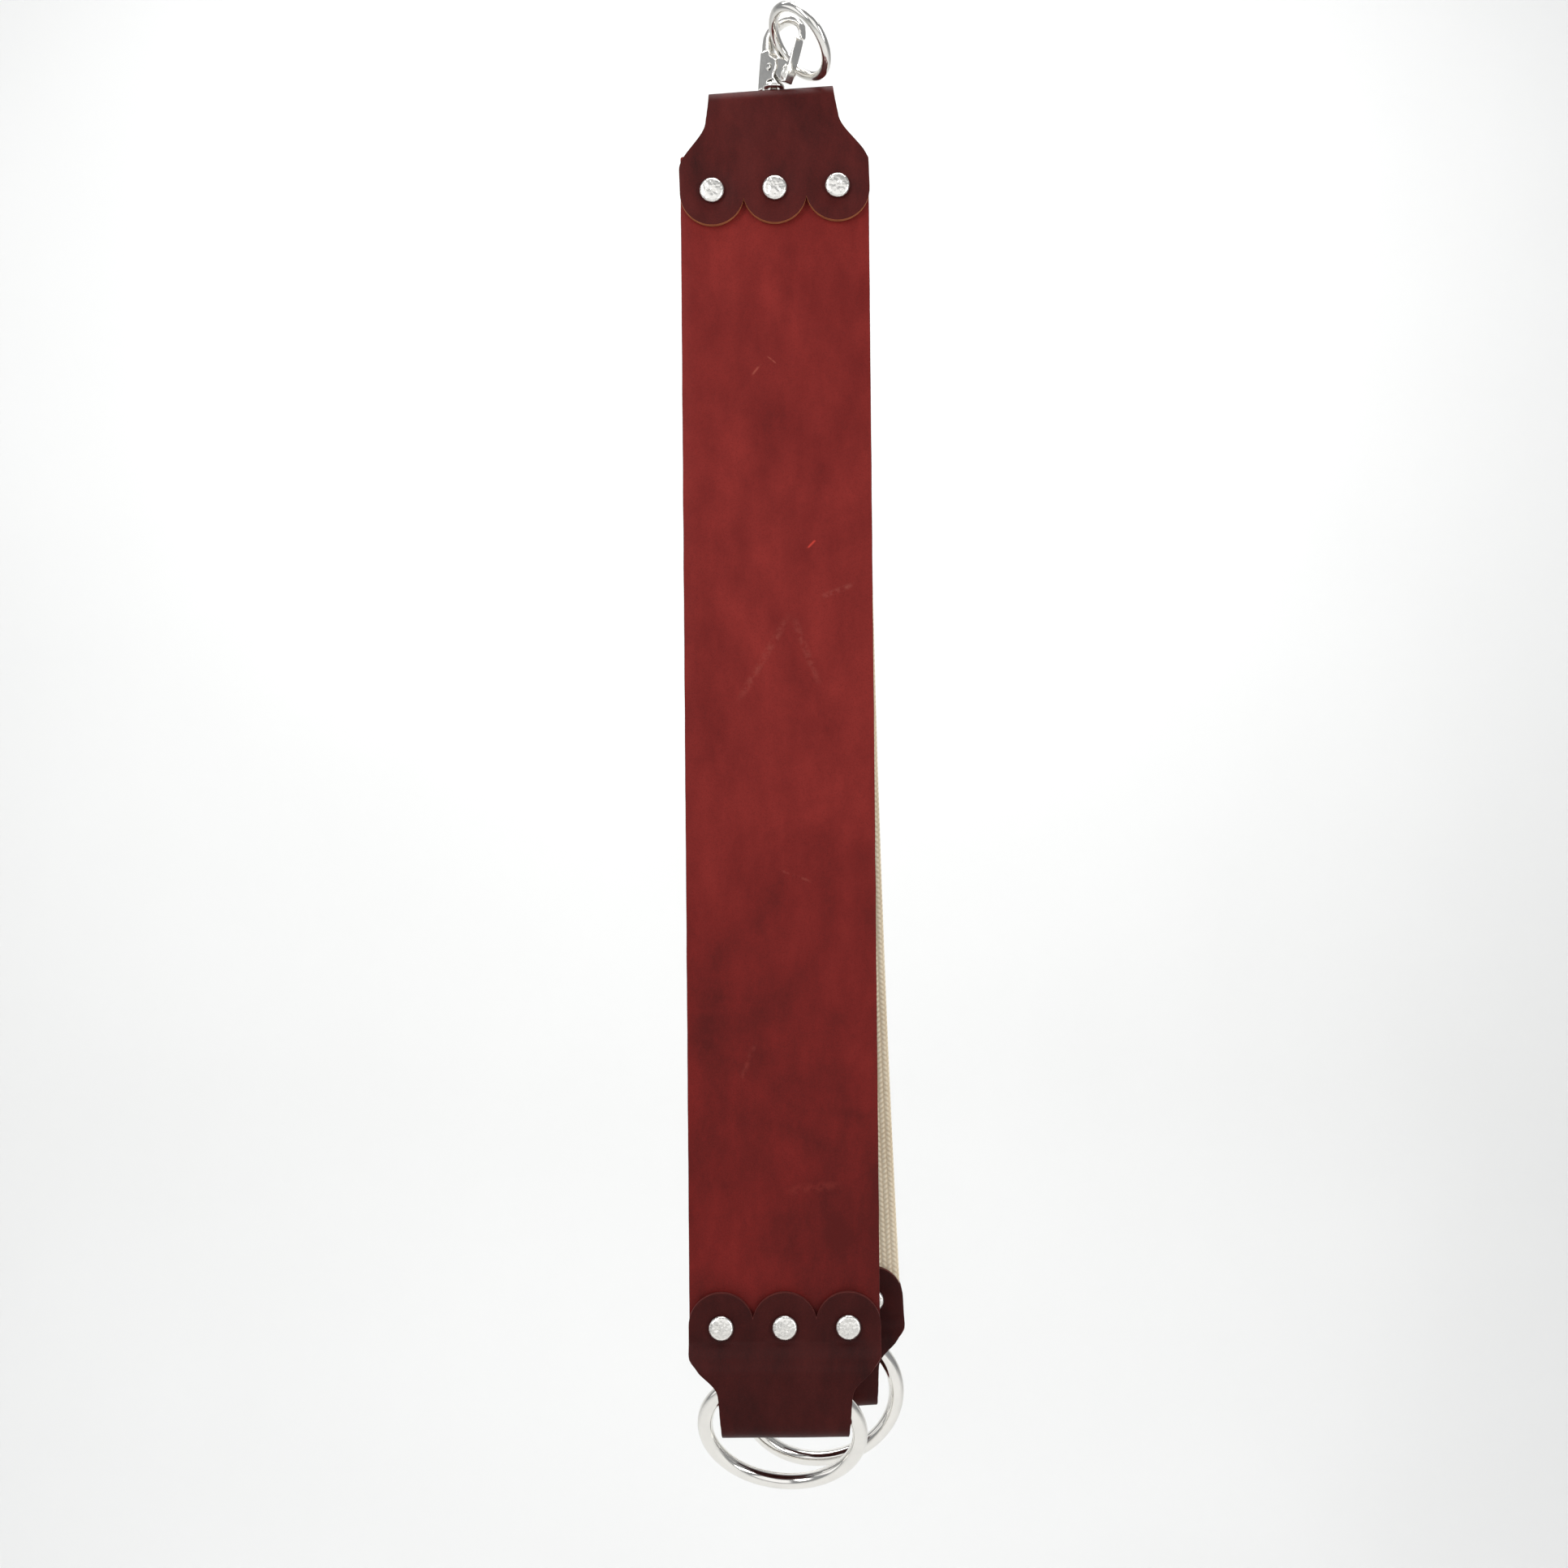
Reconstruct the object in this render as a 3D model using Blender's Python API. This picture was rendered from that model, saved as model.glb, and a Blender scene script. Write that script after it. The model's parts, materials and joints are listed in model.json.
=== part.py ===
"""Two-strap hanging strop: a leather strap and a cotton strap riveted into one folded tab under a swivel
trigger snap, each strap with its own folded grip tab and pull ring.

Metres, +Z up, front (leather side) toward -Y. The origin lies on the swivel axis, level with the inside
of the snap hook's crown, where a fixed anchor carries the strop.
"""

import math

import bmesh
import bpy
from mathutils import Matrix, Vector

MM = 0.001
GAP = 0.3 * MM  # clearance between touching solids

# Straps
STRAP_WIDTH = 76.2 * MM
LEATHER_THICK = 3.0 * MM
CANVAS_WIDTH = 75.0 * MM
CANVAS_THICK = 2.2 * MM
ROW_DISTANCE = 458.0 * MM  # between the top and bottom rivet rows of the leather strap
CANVAS_ROW_DISTANCE = 455.0 * MM
STRAP_TOP_END = 14.0 * MM  # strap above the top rivet row
STRAP_BOTTOM_END = 7.5 * MM  # strap below the bottom rivet row
CANVAS_DRIFT = 10.6 * MM  # sideways set of the canvas strap at its bottom row
CANVAS_LEAN = 21.1 * MM  # how far back its bottom row hangs behind its top
LEATHER_WANDER = 0.08 * MM  # how far its cut edges run off a straight line
FLEX_DROP = 16.8 * MM  # from the top rivet row down to the line where the straps flex
STACK_Y = -1.5 * MM  # mid depth of the clamped straps, a little in front of the swivel axis

# Tabs: one piece of leather folded in two
TAB_THICK = 2.4 * MM
NECK_HALF_WIDTH = 25.5 * MM
NECK_TRIM = 0.5 * MM  # the neck is this much narrower at the fold itself
NECK_FLARE = 1.4 * MM  # and this much wider where it runs into the shoulder
TOP_SHOULDER = (29.0 * MM, 9.0 * MM)  # where the widening starts and ends, below the rivet row
GRIP_SHOULDER = (27.0 * MM, 12.0 * MM)
TOP_ROW_TO_FOLD = 41.4 * MM
GRIP_ROW_TO_FOLD = 43.6 * MM
LOBE_TIP = 13.9 * MM  # lobe end past the rivet row
LOBE_RADIUS = 13.0 * MM
TOP_TAB_TURN = math.radians(1.78)
TOP_FOLD_SKEW = math.radians(1.68)
TOP_POCKET_BACK = 4.6 * MM  # inside depth of the top fold behind the mid plane
TOP_CORNER = 1.8 * MM
GRIP_POCKET_FRONT = 7.8 * MM  # inside depths of the ring pocket in a grip tab
GRIP_POCKET_BACK = 9.6 * MM
GRIP_POCKET_TOP = 16.5 * MM  # the pocket starts to close this far below the rivet row
GRIP_POCKET_CLOSED = 5.5 * MM  # and its leaves meet the strap this far below it
GRIP_CORNER = 4.8 * MM  # inside corner radius at the closed end of that pocket
STEM_SLOT_HALF = 2.3 * MM
STEM_SLOT_FRONT = 0.8 * MM
STEM_SLOT_BACK = 7.0 * MM

# Rivets
RIVET_PITCH = 25.4 * MM
RIVET_HEAD_RADIUS = 5.0 * MM
RIVET_HEAD_HEIGHT = 1.5 * MM
RIVET_CAP_RADIUS = 4.6 * MM
RIVET_SHANK_RADIUS = 2.0 * MM
RIVET_HOLE_RADIUS = 2.5 * MM
RIVET_BORE_RADIUS = 1.3 * MM
RIVET_NIPPLE_RADIUS = 0.9 * MM
RIVET_SIDES = 16

# Pull rings and clip ring
PULL_RING_RADIUS = 31.75 * MM
PULL_RING_WIRE = 3.175 * MM
PULL_RING_HANG = 22.0 * MM  # from the ring's swing axis down to its centre
CLIP_RING_RADIUS = 14.7 * MM
CLIP_RING_WIRE = 2.0 * MM
CLIP_RING_PIVOT = (1.48 * MM, -1.16 * MM, -4.99 * MM)  # where its wire lies in the hook
CLIP_RING_CENTRE = (10.58 * MM, -11.64 * MM, -9.83 * MM)
CLIP_RING_NORMAL = (0.699, 0.309, 0.645)

# Snap hook, in its own plane: u towards the gate, w up from the swivel collar
HOOK_YAW = math.radians(42.0)
HOOK_HALF_THICK = 2.7 * MM
CROOK_HEIGHT = 24.7 * MM  # inside of the crown over the bottom of the collar
COLLAR_RADIUS = 4.6 * MM
COLLAR_HEIGHT = 2.4 * MM
COLLAR_OVER_FOLD = 1.0 * MM
SWIVEL_STEM_RADIUS = 1.5 * MM
SWIVEL_BAR_RADIUS = 2.0 * MM
SWIVEL_BAR_HALF = 13.0 * MM
SWIVEL_HEAD_RADIUS = 2.6 * MM
PIVOT = (-0.3 * MM, 9.1 * MM)
PIVOT_RADIUS = 0.9 * MM
NOSE_RADIUS = 4.2 * MM
SLOT_HALF = 1.5 * MM
TONGUE_HALF = 1.2 * MM

# Derived places
STACK_HALF = (LEATHER_THICK + CANVAS_THICK + 3 * GAP) / 2  # inside half depth of the top tab
HOOK_BASE_Z = -CROOK_HEIGHT
TOP_FOLD_Z = HOOK_BASE_Z - COLLAR_OVER_FOLD
SWIVEL_BAR_Z = TOP_FOLD_Z - TAB_THICK - SWIVEL_BAR_RADIUS - 1.3 * MM
TOP_ROW_Z = TOP_FOLD_Z - TOP_ROW_TO_FOLD
FLEX_Z = TOP_ROW_Z - FLEX_DROP
LEATHER_Y = STACK_Y - STACK_HALF + GAP + LEATHER_THICK / 2
CANVAS_Y = STACK_Y + STACK_HALF - GAP - CANVAS_THICK / 2
LEATHER_ROW_Z = TOP_ROW_Z - ROW_DISTANCE
CANVAS_ROW_Z = TOP_ROW_Z - CANVAS_ROW_DISTANCE
CANVAS_SPAN = CANVAS_ROW_DISTANCE - FLEX_DROP
CANVAS_LEAN_ANGLE = math.atan2(CANVAS_LEAN, CANVAS_SPAN)
CANVAS_TURN = math.atan(2 * CANVAS_DRIFT / CANVAS_ROW_DISTANCE)
RIVET_OFFSETS = (-RIVET_PITCH, 0.0, RIVET_PITCH)


def clear_scene():
    for obj in list(bpy.data.objects):
        bpy.data.objects.remove(obj, do_unlink=True)


def material(name, color, roughness, metallic=0.0):
    mat = bpy.data.materials.new(name)
    mat.use_nodes = True
    shader = mat.node_tree.nodes["Principled BSDF"]
    shader.inputs["Base Color"].default_value = (*color, 1.0)
    shader.inputs["Roughness"].default_value = roughness
    shader.inputs["Metallic"].default_value = metallic
    return mat


def add_object(name, mesh, mat):
    obj = bpy.data.objects.new(name, mesh)
    bpy.context.scene.collection.objects.link(obj)
    obj.data.materials.append(mat)
    mesh.shade_smooth()
    mesh.set_sharp_from_angle(angle=math.radians(35))
    return obj


def mesh_from(bm, name):
    bmesh.ops.recalc_face_normals(bm, faces=bm.faces)
    if bm.calc_volume(signed=True) < 0:
        bmesh.ops.reverse_faces(bm, faces=bm.faces)
    mesh = bpy.data.meshes.new(name)
    bm.to_mesh(mesh)
    bm.free()
    return mesh


def arc(centre, radius, start, end, count):
    """Points on an arc in a plane, from angle start to angle end in degrees."""
    angles = [math.radians(start + (end - start) * i / count) for i in range(count + 1)]
    return [(centre[0] + radius * math.cos(a), centre[1] + radius * math.sin(a)) for a in angles]


def circle(centre, radius, count):
    return arc(centre, radius, 0, 360, count)[:-1]


def flat_plate(outline, holes, thickness):
    """A closed plate in the XZ plane, centred on y = 0, from an outline and holes given as (x, z)."""
    curve = bpy.data.curves.new("plate_outline", "CURVE")
    curve.dimensions = "2D"
    curve.fill_mode = "BOTH"
    curve.extrude = thickness / 2
    for points in (outline, *holes):
        spline = curve.splines.new("POLY")
        spline.points.add(len(points) - 1)
        spline.use_cyclic_u = True
        for point, (x, z) in zip(spline.points, points):
            point.co = (x, z, 0, 1)
    guide = bpy.data.objects.new("plate_outline", curve)
    bm = bmesh.new()
    bm.from_mesh(guide.to_mesh())
    guide.to_mesh_clear()
    bpy.data.objects.remove(guide)
    bpy.data.curves.remove(curve)
    bmesh.ops.remove_doubles(bm, verts=bm.verts, dist=1e-6)
    bmesh.ops.dissolve_limit(bm, angle_limit=0.001, verts=bm.verts, edges=bm.edges)
    bmesh.ops.rotate(bm, cent=(0, 0, 0), matrix=Matrix.Rotation(math.pi / 2, 3, "X"), verts=bm.verts)
    return bm


def cut_rows(bm, levels):
    """Adds a row of edges across the mesh at each height."""
    for level in levels:
        bmesh.ops.bisect_plane(
            bm,
            geom=bm.verts[:] + bm.edges[:] + bm.faces[:],
            dist=1e-7,
            plane_co=(0, 0, level),
            plane_no=(0, 0, 1),
        )


def turned(name, profile, sides, mat):
    """A solid of revolution about +Z from (radius, height) points, starting and ending on the axis."""
    bm = bmesh.new()
    rings = []
    for radius, height in profile:
        if radius < 1e-9:
            rings.append([bm.verts.new((0, 0, height))])
            continue
        ring = []
        for i in range(sides):
            angle = 2 * math.pi * i / sides
            ring.append(bm.verts.new((radius * math.cos(angle), radius * math.sin(angle), height)))
        rings.append(ring)
    for lower, upper in zip(rings, rings[1:]):
        for i in range(sides):
            j = (i + 1) % sides
            corners = [lower[i % len(lower)], lower[j % len(lower)], upper[j % len(upper)], upper[i % len(upper)]]
            bm.faces.new(list(dict.fromkeys(corners)))
    return add_object(name, mesh_from(bm, name), mat)


def torus(name, radius, wire, mat, around=40, section=10):
    """A round ring in its own XY plane."""
    bm = bmesh.new()
    loops = []
    for i in range(around):
        a = 2 * math.pi * i / around
        loop = []
        for j in range(section):
            b = 2 * math.pi * j / section
            reach = radius + wire * math.cos(b)
            loop.append(bm.verts.new((reach * math.cos(a), reach * math.sin(a), wire * math.sin(b))))
        loops.append(loop)
    for i in range(around):
        here, there = loops[i], loops[(i + 1) % around]
        for j in range(section):
            k = (j + 1) % section
            bm.faces.new((here[j], there[j], there[k], here[k]))
    return add_object(name, mesh_from(bm, name), mat)


def boolean(target, cutter, operation):
    modifier = target.modifiers.new(operation.lower(), "BOOLEAN")
    modifier.operation = operation
    modifier.solver = "EXACT"
    modifier.object = cutter
    cutter.hide_render = True
    cutter.display_type = "WIRE"


def parented(child, parent):
    child.parent = parent
    return child


def empty(name, location, parent=None):
    obj = bpy.data.objects.new(name, None)
    obj.empty_display_size = 0.01
    obj.location = location
    obj.parent = parent
    bpy.context.scene.collection.objects.link(obj)
    return obj


# Tabs ---------------------------------------------------------------------------------------------


def tab_side(row, shoulder):
    """Right-hand edge of one leaf, from the fold line up past the shoulder, as (x, distance from fold)."""
    start, end = (row - drop for drop in shoulder)
    half_width = RIVET_PITCH + LOBE_RADIUS
    waist = NECK_HALF_WIDTH + NECK_FLARE
    points = [(NECK_HALF_WIDTH - NECK_TRIM, 0.0), (NECK_HALF_WIDTH + 0.2 * MM, 0.45 * start), (waist, start)]
    for i in range(1, 9):
        t = i / 8
        points.append((waist + (half_width - waist) * (3 * t**2 - 2 * t**3), start + (end - start) * t))
    points.append((half_width, row - 1.0 * MM))
    return points


def tab_lobes(row):
    """The three scalloped lobes of a leaf, right to left."""
    centre_up = row + LOBE_TIP - LOBE_RADIUS
    half = math.degrees(math.acos(RIVET_PITCH / 2 / LOBE_RADIUS))
    points = []
    for index, x in enumerate(reversed(RIVET_OFFSETS)):
        start = 0 if index == 0 else half
        end = 180 if index == 2 else 180 - half
        lobe = arc((x, centre_up), LOBE_RADIUS, start, end, 12)
        points += lobe if index == 2 else lobe[:-1]
    return points


def tab_leaf(row, shoulder):
    """Half of the flat pattern, from the fold line's right end round to its left end."""
    side = tab_side(row, shoulder)
    return side + tab_lobes(row) + [(-x, z) for x, z in reversed(side)]


def tab_outline(front_row, back_row, shoulder):
    """The whole flat pattern: x across, z along, with the fold line on z = 0."""
    front, back = tab_leaf(front_row, shoulder), tab_leaf(back_row, shoulder)
    return front + [(x, -z) for x, z in reversed(back)][1:-1]


def fold_path(row, pocket, rest, corner):
    """One side of the fold's inside line as (y, z) points: from the closed end, z = 0, up into the leaf.

    The pocket keeps its depth until it closes in on the clamped straps below the rivet row.
    """
    points = [(0.0, 0.0)]
    points += arc((pocket - corner, corner), corner, -90, 0, 6)
    if pocket > rest:
        top = row - GRIP_POCKET_TOP
        points.append((pocket, top))
        close = row - GRIP_POCKET_CLOSED
        for i in range(1, 9):
            t = i / 8
            points.append((pocket + (rest - pocket) * (3 * t**2 - 2 * t**3), top + (close - top) * t))
    points.append((rest, row + 2 * LOBE_TIP))
    return points


def along(path, distance):
    """The point and unit tangent at a distance along a polyline; past its end it runs straight on."""
    travelled = 0.0
    for (y0, z0), (y1, z1) in zip(path, path[1:]):
        length = math.hypot(y1 - y0, z1 - z0)
        if length < 1e-9:
            continue
        ty, tz = (y1 - y0) / length, (z1 - z0) / length
        if distance <= travelled + length or (y1, z1) == path[-1]:
            step = distance - travelled
            return (y0 + ty * step, z0 + tz * step), (ty, tz)
        travelled += length
    raise ValueError("empty path")


def smooth_tangent(path, distance):
    """The tangent averaged over a short stretch, so that the folded sheet bends without kinks."""
    reach = 0.8 * MM
    (y0, z0), _ = along(path, max(distance - reach, 0.0))
    (y1, z1), _ = along(path, distance + reach)
    if distance < 1e-7:
        return 1.0, 0.0
    length = math.hypot(y1 - y0, z1 - z0)
    return (y1 - y0) / length, (z1 - z0) / length


def path_to_height(path, height):
    """The distance along the path at which it first reaches a height."""
    low, high = 0.0, 0.2
    for _ in range(50):
        middle = (low + high) / 2
        if along(path, middle)[0][1] < height:
            low = middle
        else:
            high = middle
    return (low + high) / 2


def folded_tab(name, row, shoulder, front, back, rest, corner, slot, skew, mat):
    """A tab folded at z = 0 around its pocket, leaves up, front leaf toward -Y, rivet holes at z = row.

    Front and back are the pocket's depths on each side of the mid plane and rest is the leaves' own.
    The slot, if any, is (x, front reach, back reach) for a stem through the fold.
    """
    inside_row = row - TAB_THICK
    paths = {-1: fold_path(inside_row, front, rest, corner), 1: fold_path(inside_row, back, rest, corner)}
    sheet_rows = {side: path_to_height(path, inside_row) for side, path in paths.items()}
    holes = []
    for side, sheet_row in sheet_rows.items():
        holes += [circle((x, -side * sheet_row), RIVET_HOLE_RADIUS, 12) for x in RIVET_OFFSETS]
    if slot:
        middle, forward, rearward = slot
        left, right = middle - STEM_SLOT_HALF, middle + STEM_SLOT_HALF
        holes.append([(left, forward), (right, forward), (right, -rearward), (left, -rearward)])
    bm = flat_plate(tab_outline(sheet_rows[-1], sheet_rows[1], shoulder), holes, TAB_THICK)
    ends = {side: path_to_height(path, inside_row - 5.0 * MM) for side, path in paths.items()}
    shares = [i / 26 for i in range(27)]
    cut_rows(bm, [ends[-1] * share for share in shares] + [-ends[1] * share for share in shares[1:]])
    for vert in bm.verts:
        side = -1 if vert.co.z > 0 else 1
        distance = abs(vert.co.z)
        (y, z), _ = along(paths[side], distance)
        ty, tz = smooth_tangent(paths[side], distance)
        # The plate's -Y face becomes the outside of the fold.
        outward = TAB_THICK / 2 - vert.co.y
        vert.co.y = side * (y + tz * outward)
        vert.co.z = z - ty * outward + TAB_THICK
        vert.co.z += vert.co.x * math.tan(skew) * max(0.0, 1 - vert.co.z / row)
    return add_object(name, mesh_from(bm, name), mat)


# Straps -------------------------------------------------------------------------------------------


def strap_outline(half_width, bottom, top, corner):
    """A strap's outline with softly rounded corners."""
    points = []
    for x, z, start in (
        (half_width - corner, top - corner, 0),
        (corner - half_width, top - corner, 90),
        (corner - half_width, bottom + corner, 180),
        (half_width - corner, bottom + corner, 270),
    ):
        points += arc((x, z), corner, start, start + 90, 2)
    return points


def round_top(bm, top, thickness):
    """Rounds the upper end of a strap about its flex line."""
    depth = thickness / 2
    levels = [top - depth + depth * math.sin(math.radians(a)) for a in (0, 30, 60)]
    cut_rows(bm, levels)
    for vert in bm.verts:
        over = vert.co.z - (top - depth)
        if over > 0:
            vert.co.y *= max(math.sqrt(max(depth**2 - over**2, 0.0)) / depth, 0.12)


def canvas_shift(z):
    """(x, y) of the canvas strap's middle at a height: it drifts sideways and hangs back a little."""
    below_row = max(TOP_ROW_Z - z, 0.0)
    below_flex = max(FLEX_Z - z, 0.0)
    x = CANVAS_DRIFT * (below_row / CANVAS_ROW_DISTANCE) ** 2
    return x, CANVAS_Y + below_flex * math.tan(CANVAS_LEAN_ANGLE)


def leather_shift(z):
    """(x, y) of the leather strap's middle at a height: it hangs straight, with slightly wandering edges."""
    return LEATHER_WANDER * math.sin(z / (25 * MM)), LEATHER_Y


def row_points(centre_x, centre_z, turn):
    """The three rivet centres of a row turned about its middle."""
    return [(centre_x + x * math.cos(turn), centre_z + x * math.sin(turn)) for x in RIVET_OFFSETS]


def straps(mats):
    """The straps: each in a clamped end inside the top tab and a run that hangs from its flex line."""
    top_holes = [circle(c, RIVET_HOLE_RADIUS, 12) for c in row_points(0, TOP_ROW_Z, TOP_TAB_TURN)]
    specs = (
        ("leather", STRAP_WIDTH / 2, LEATHER_THICK, leather_shift, LEATHER_ROW_Z, 0.0, 0.0),
        ("canvas", CANVAS_WIDTH / 2, CANVAS_THICK, canvas_shift, CANVAS_ROW_Z, CANVAS_DRIFT, CANVAS_TURN),
    )
    for kind, half_width, thick, shift, row_z, drift, turn in specs:
        end_bottom = FLEX_Z + thick / 2 + GAP
        outline = strap_outline(half_width, end_bottom, TOP_ROW_Z + STRAP_TOP_END, 0.8 * MM)
        bm = flat_plate(outline, top_holes, thick)
        bmesh.ops.translate(bm, vec=(0, shift(TOP_ROW_Z)[1], 0), verts=bm.verts)
        add_object(f"{kind}_strap_end", mesh_from(bm, kind), mats[kind])

        run_top = FLEX_Z + thick / 2
        outline = strap_outline(half_width, row_z - STRAP_BOTTOM_END, run_top, 0.8 * MM)
        holes = [circle((x - drift, z), RIVET_HOLE_RADIUS, 12) for x, z in row_points(drift, row_z, turn)]
        bm = flat_plate(outline, holes, thick)
        round_top(bm, run_top, thick)
        cut_rows(bm, [FLEX_Z - CANVAS_SPAN * i / 12 for i in range(1, 12)])
        for vert in bm.verts:
            dx, dy = shift(vert.co.z)
            vert.co.x += dx
            vert.co.y += dy
        add_object(f"{kind}_strap", mesh_from(bm, kind), mats[kind])


# Rivets -------------------------------------------------------------------------------------------


def rivet(name, stack_half, mats):
    """A tubular rivet along Y: domed head and shank in front, cap with a nipple behind."""
    seat = stack_half + GAP
    depth = 3.0 * MM
    head = turned(
        name,
        [
            (0, seat + RIVET_HEAD_HEIGHT),
            (0.45 * RIVET_HEAD_RADIUS, seat + 0.9 * RIVET_HEAD_HEIGHT),
            (0.8 * RIVET_HEAD_RADIUS, seat + 0.6 * RIVET_HEAD_HEIGHT),
            (RIVET_HEAD_RADIUS, seat + 0.2 * RIVET_HEAD_HEIGHT),
            (RIVET_HEAD_RADIUS - 0.2 * MM, seat),
            (RIVET_SHANK_RADIUS, seat),
            (RIVET_SHANK_RADIUS, GAP - seat),
            (RIVET_BORE_RADIUS, GAP - seat),
            (RIVET_BORE_RADIUS, depth - seat),
            (0, depth - seat),
        ],
        RIVET_SIDES,
        mats["nickel"],
    )
    cap = turned(
        name.replace("rivet", "rivet_cap"),
        [
            (0, -seat - 0.8 * RIVET_HEAD_HEIGHT),
            (0.55 * RIVET_CAP_RADIUS, -seat - 0.7 * RIVET_HEAD_HEIGHT),
            (RIVET_CAP_RADIUS, -seat - 0.2 * RIVET_HEAD_HEIGHT),
            (RIVET_CAP_RADIUS - 0.2 * MM, -seat),
            (RIVET_NIPPLE_RADIUS, -seat),
            (RIVET_NIPPLE_RADIUS, depth - seat - 0.8 * MM),
            (0, depth - seat - 0.8 * MM),
        ],
        RIVET_SIDES,
        mats["nickel"],
    )
    return head, cap


def rivet_row(prefix, parent, row_up, stack_half, mats):
    """Three rivets across a tab, in the tab's own frame, whose rivet row is row_up over the fold."""
    for number, x in enumerate(RIVET_OFFSETS, 1):
        for piece in rivet(f"{prefix}_rivet_{number}", stack_half, mats):
            piece.rotation_euler = (math.pi / 2, 0, 0)
            piece.location = (x, 0, row_up)
            parented(piece, parent)


# Swivel snap hook ---------------------------------------------------------------------------------


def hook_frame_solid(mats):
    """The cast frame: round collar, slotted body, spine, crown and hooked tip."""
    # Sections of the bent arm, in millimetres: across, up, half its width and half its depth.
    arm = [
        (-3.3, 12.0, 2.6, 2.4),
        (-3.0, 15.7, 2.25, 2.4),
        (-2.8, 19.3, 2.05, 2.4),
        (-2.4, 21.8, 1.9, 2.4),
        (-1.0, 23.9, 1.65, 2.4),
        (1.3, 25.4, 1.5, 2.4),
        (4.2, 26.3, 1.55, 2.4),
        (7.5, 26.4, 1.65, 2.4),
        (10.7, 25.6, 1.75, 2.4),
        (13.3, 24.0, 1.7, 2.3),
        (15.0, 21.9, 1.3, 2.1),
        (15.7, 19.5, 0.85, 1.9),
        (15.8, 17.4, 0.7, 1.8),
        (15.8, 16.2, 0.45, 1.2),
    ]
    section = 12
    bm = bmesh.new()
    loops = []
    for index, (u, w, half, depth) in enumerate(arm):
        before, after = arm[max(index - 1, 0)], arm[min(index + 1, len(arm) - 1)]
        along_arm = Vector((after[0] - before[0], 0, after[1] - before[1])).normalized()
        across = Vector((along_arm.z, 0, -along_arm.x))
        loop = []
        for j in range(section):
            angle = 2 * math.pi * (j + 0.5) / section
            flat = 1 / max(abs(math.cos(angle)), abs(math.sin(angle))) ** 0.45
            point = Vector((u, 0, w)) + across * half * flat * math.cos(angle)
            point.y = depth * flat * math.sin(angle)
            loop.append(bm.verts.new(point * MM))
        loops.append(loop)
    for here, there in zip(loops, loops[1:]):
        for j in range(section):
            k = (j + 1) % section
            bm.faces.new((here[j], here[k], there[k], there[j]))
    bm.faces.new(loops[0])
    bm.faces.new(list(reversed(loops[-1])))
    arm_solid = add_object("hook_frame", mesh_from(bm, "hook_frame"), mats["nickel"])

    body_points = [(-6.9, 0.6), (3.6, 0.6), (3.9, 2.0), (2.0, 4.4)]
    body_points += [(u / MM, w / MM) for u, w in arc(PIVOT, NOSE_RADIUS, -52, 75, 8)]
    body_points += [(0.2, 15.0), (-0.7, 16.6), (-5.1, 16.6), (-6.1, 8.4)]
    bm = flat_plate([(u * MM, w * MM) for u, w in body_points], [], 2 * HOOK_HALF_THICK)
    body = add_object("hook_body_block", mesh_from(bm, "hook_body_block"), mats["nickel"])
    bevel = body.modifiers.new("bevel", "BEVEL")
    bevel.width = 0.8 * MM
    bevel.segments = 2
    boolean(arm_solid, body, "UNION")

    collar = turned(
        "hook_collar",
        [
            (0, 0),
            (COLLAR_RADIUS - 0.8 * MM, 0),
            (COLLAR_RADIUS, 0.7 * MM),
            (COLLAR_RADIUS, 1.5 * MM),
            (COLLAR_RADIUS - 0.7 * MM, COLLAR_HEIGHT),
            (0, COLLAR_HEIGHT + 0.9 * MM),
        ],
        24,
        mats["nickel"],
    )
    boolean(arm_solid, collar, "UNION")

    bore = SWIVEL_STEM_RADIUS + 1.1 * GAP
    pocket = SWIVEL_HEAD_RADIUS + GAP
    swivel_cut = turned(
        "swivel_bore",
        [(0, -1 * MM), (bore, -1 * MM), (bore, 1.9 * MM), (pocket, 1.9 * MM), (pocket, 3.7 * MM), (0, 3.7 * MM)],
        16,
        mats["nickel"],
    )
    boolean(arm_solid, swivel_cut, "DIFFERENCE")

    slot_points = [(-3.2, 5.4), (8.0, 5.4), (8.0, 15.4), (2.4, 15.4), (-2.0, 12.2), (-3.2, 11.2)]
    bm = flat_plate([(u * MM, w * MM) for u, w in slot_points], [], 2 * SLOT_HALF)
    slot_cut = add_object("lever_slot", mesh_from(bm, "lever_slot"), mats["nickel"])
    boolean(arm_solid, slot_cut, "DIFFERENCE")

    pin_cut = turned(
        "pin_bore",
        [(0, -4 * MM), (PIVOT_RADIUS + 1.1 * GAP, -4 * MM), (PIVOT_RADIUS + 1.1 * GAP, 4 * MM), (0, 4 * MM)],
        12,
        mats["nickel"],
    )
    pin_cut.rotation_euler = (math.pi / 2, 0, 0)
    pin_cut.location = (PIVOT[0], 0, PIVOT[1])
    boolean(arm_solid, pin_cut, "DIFFERENCE")
    return arm_solid, (body, collar, swivel_cut, slot_cut, pin_cut)


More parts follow.
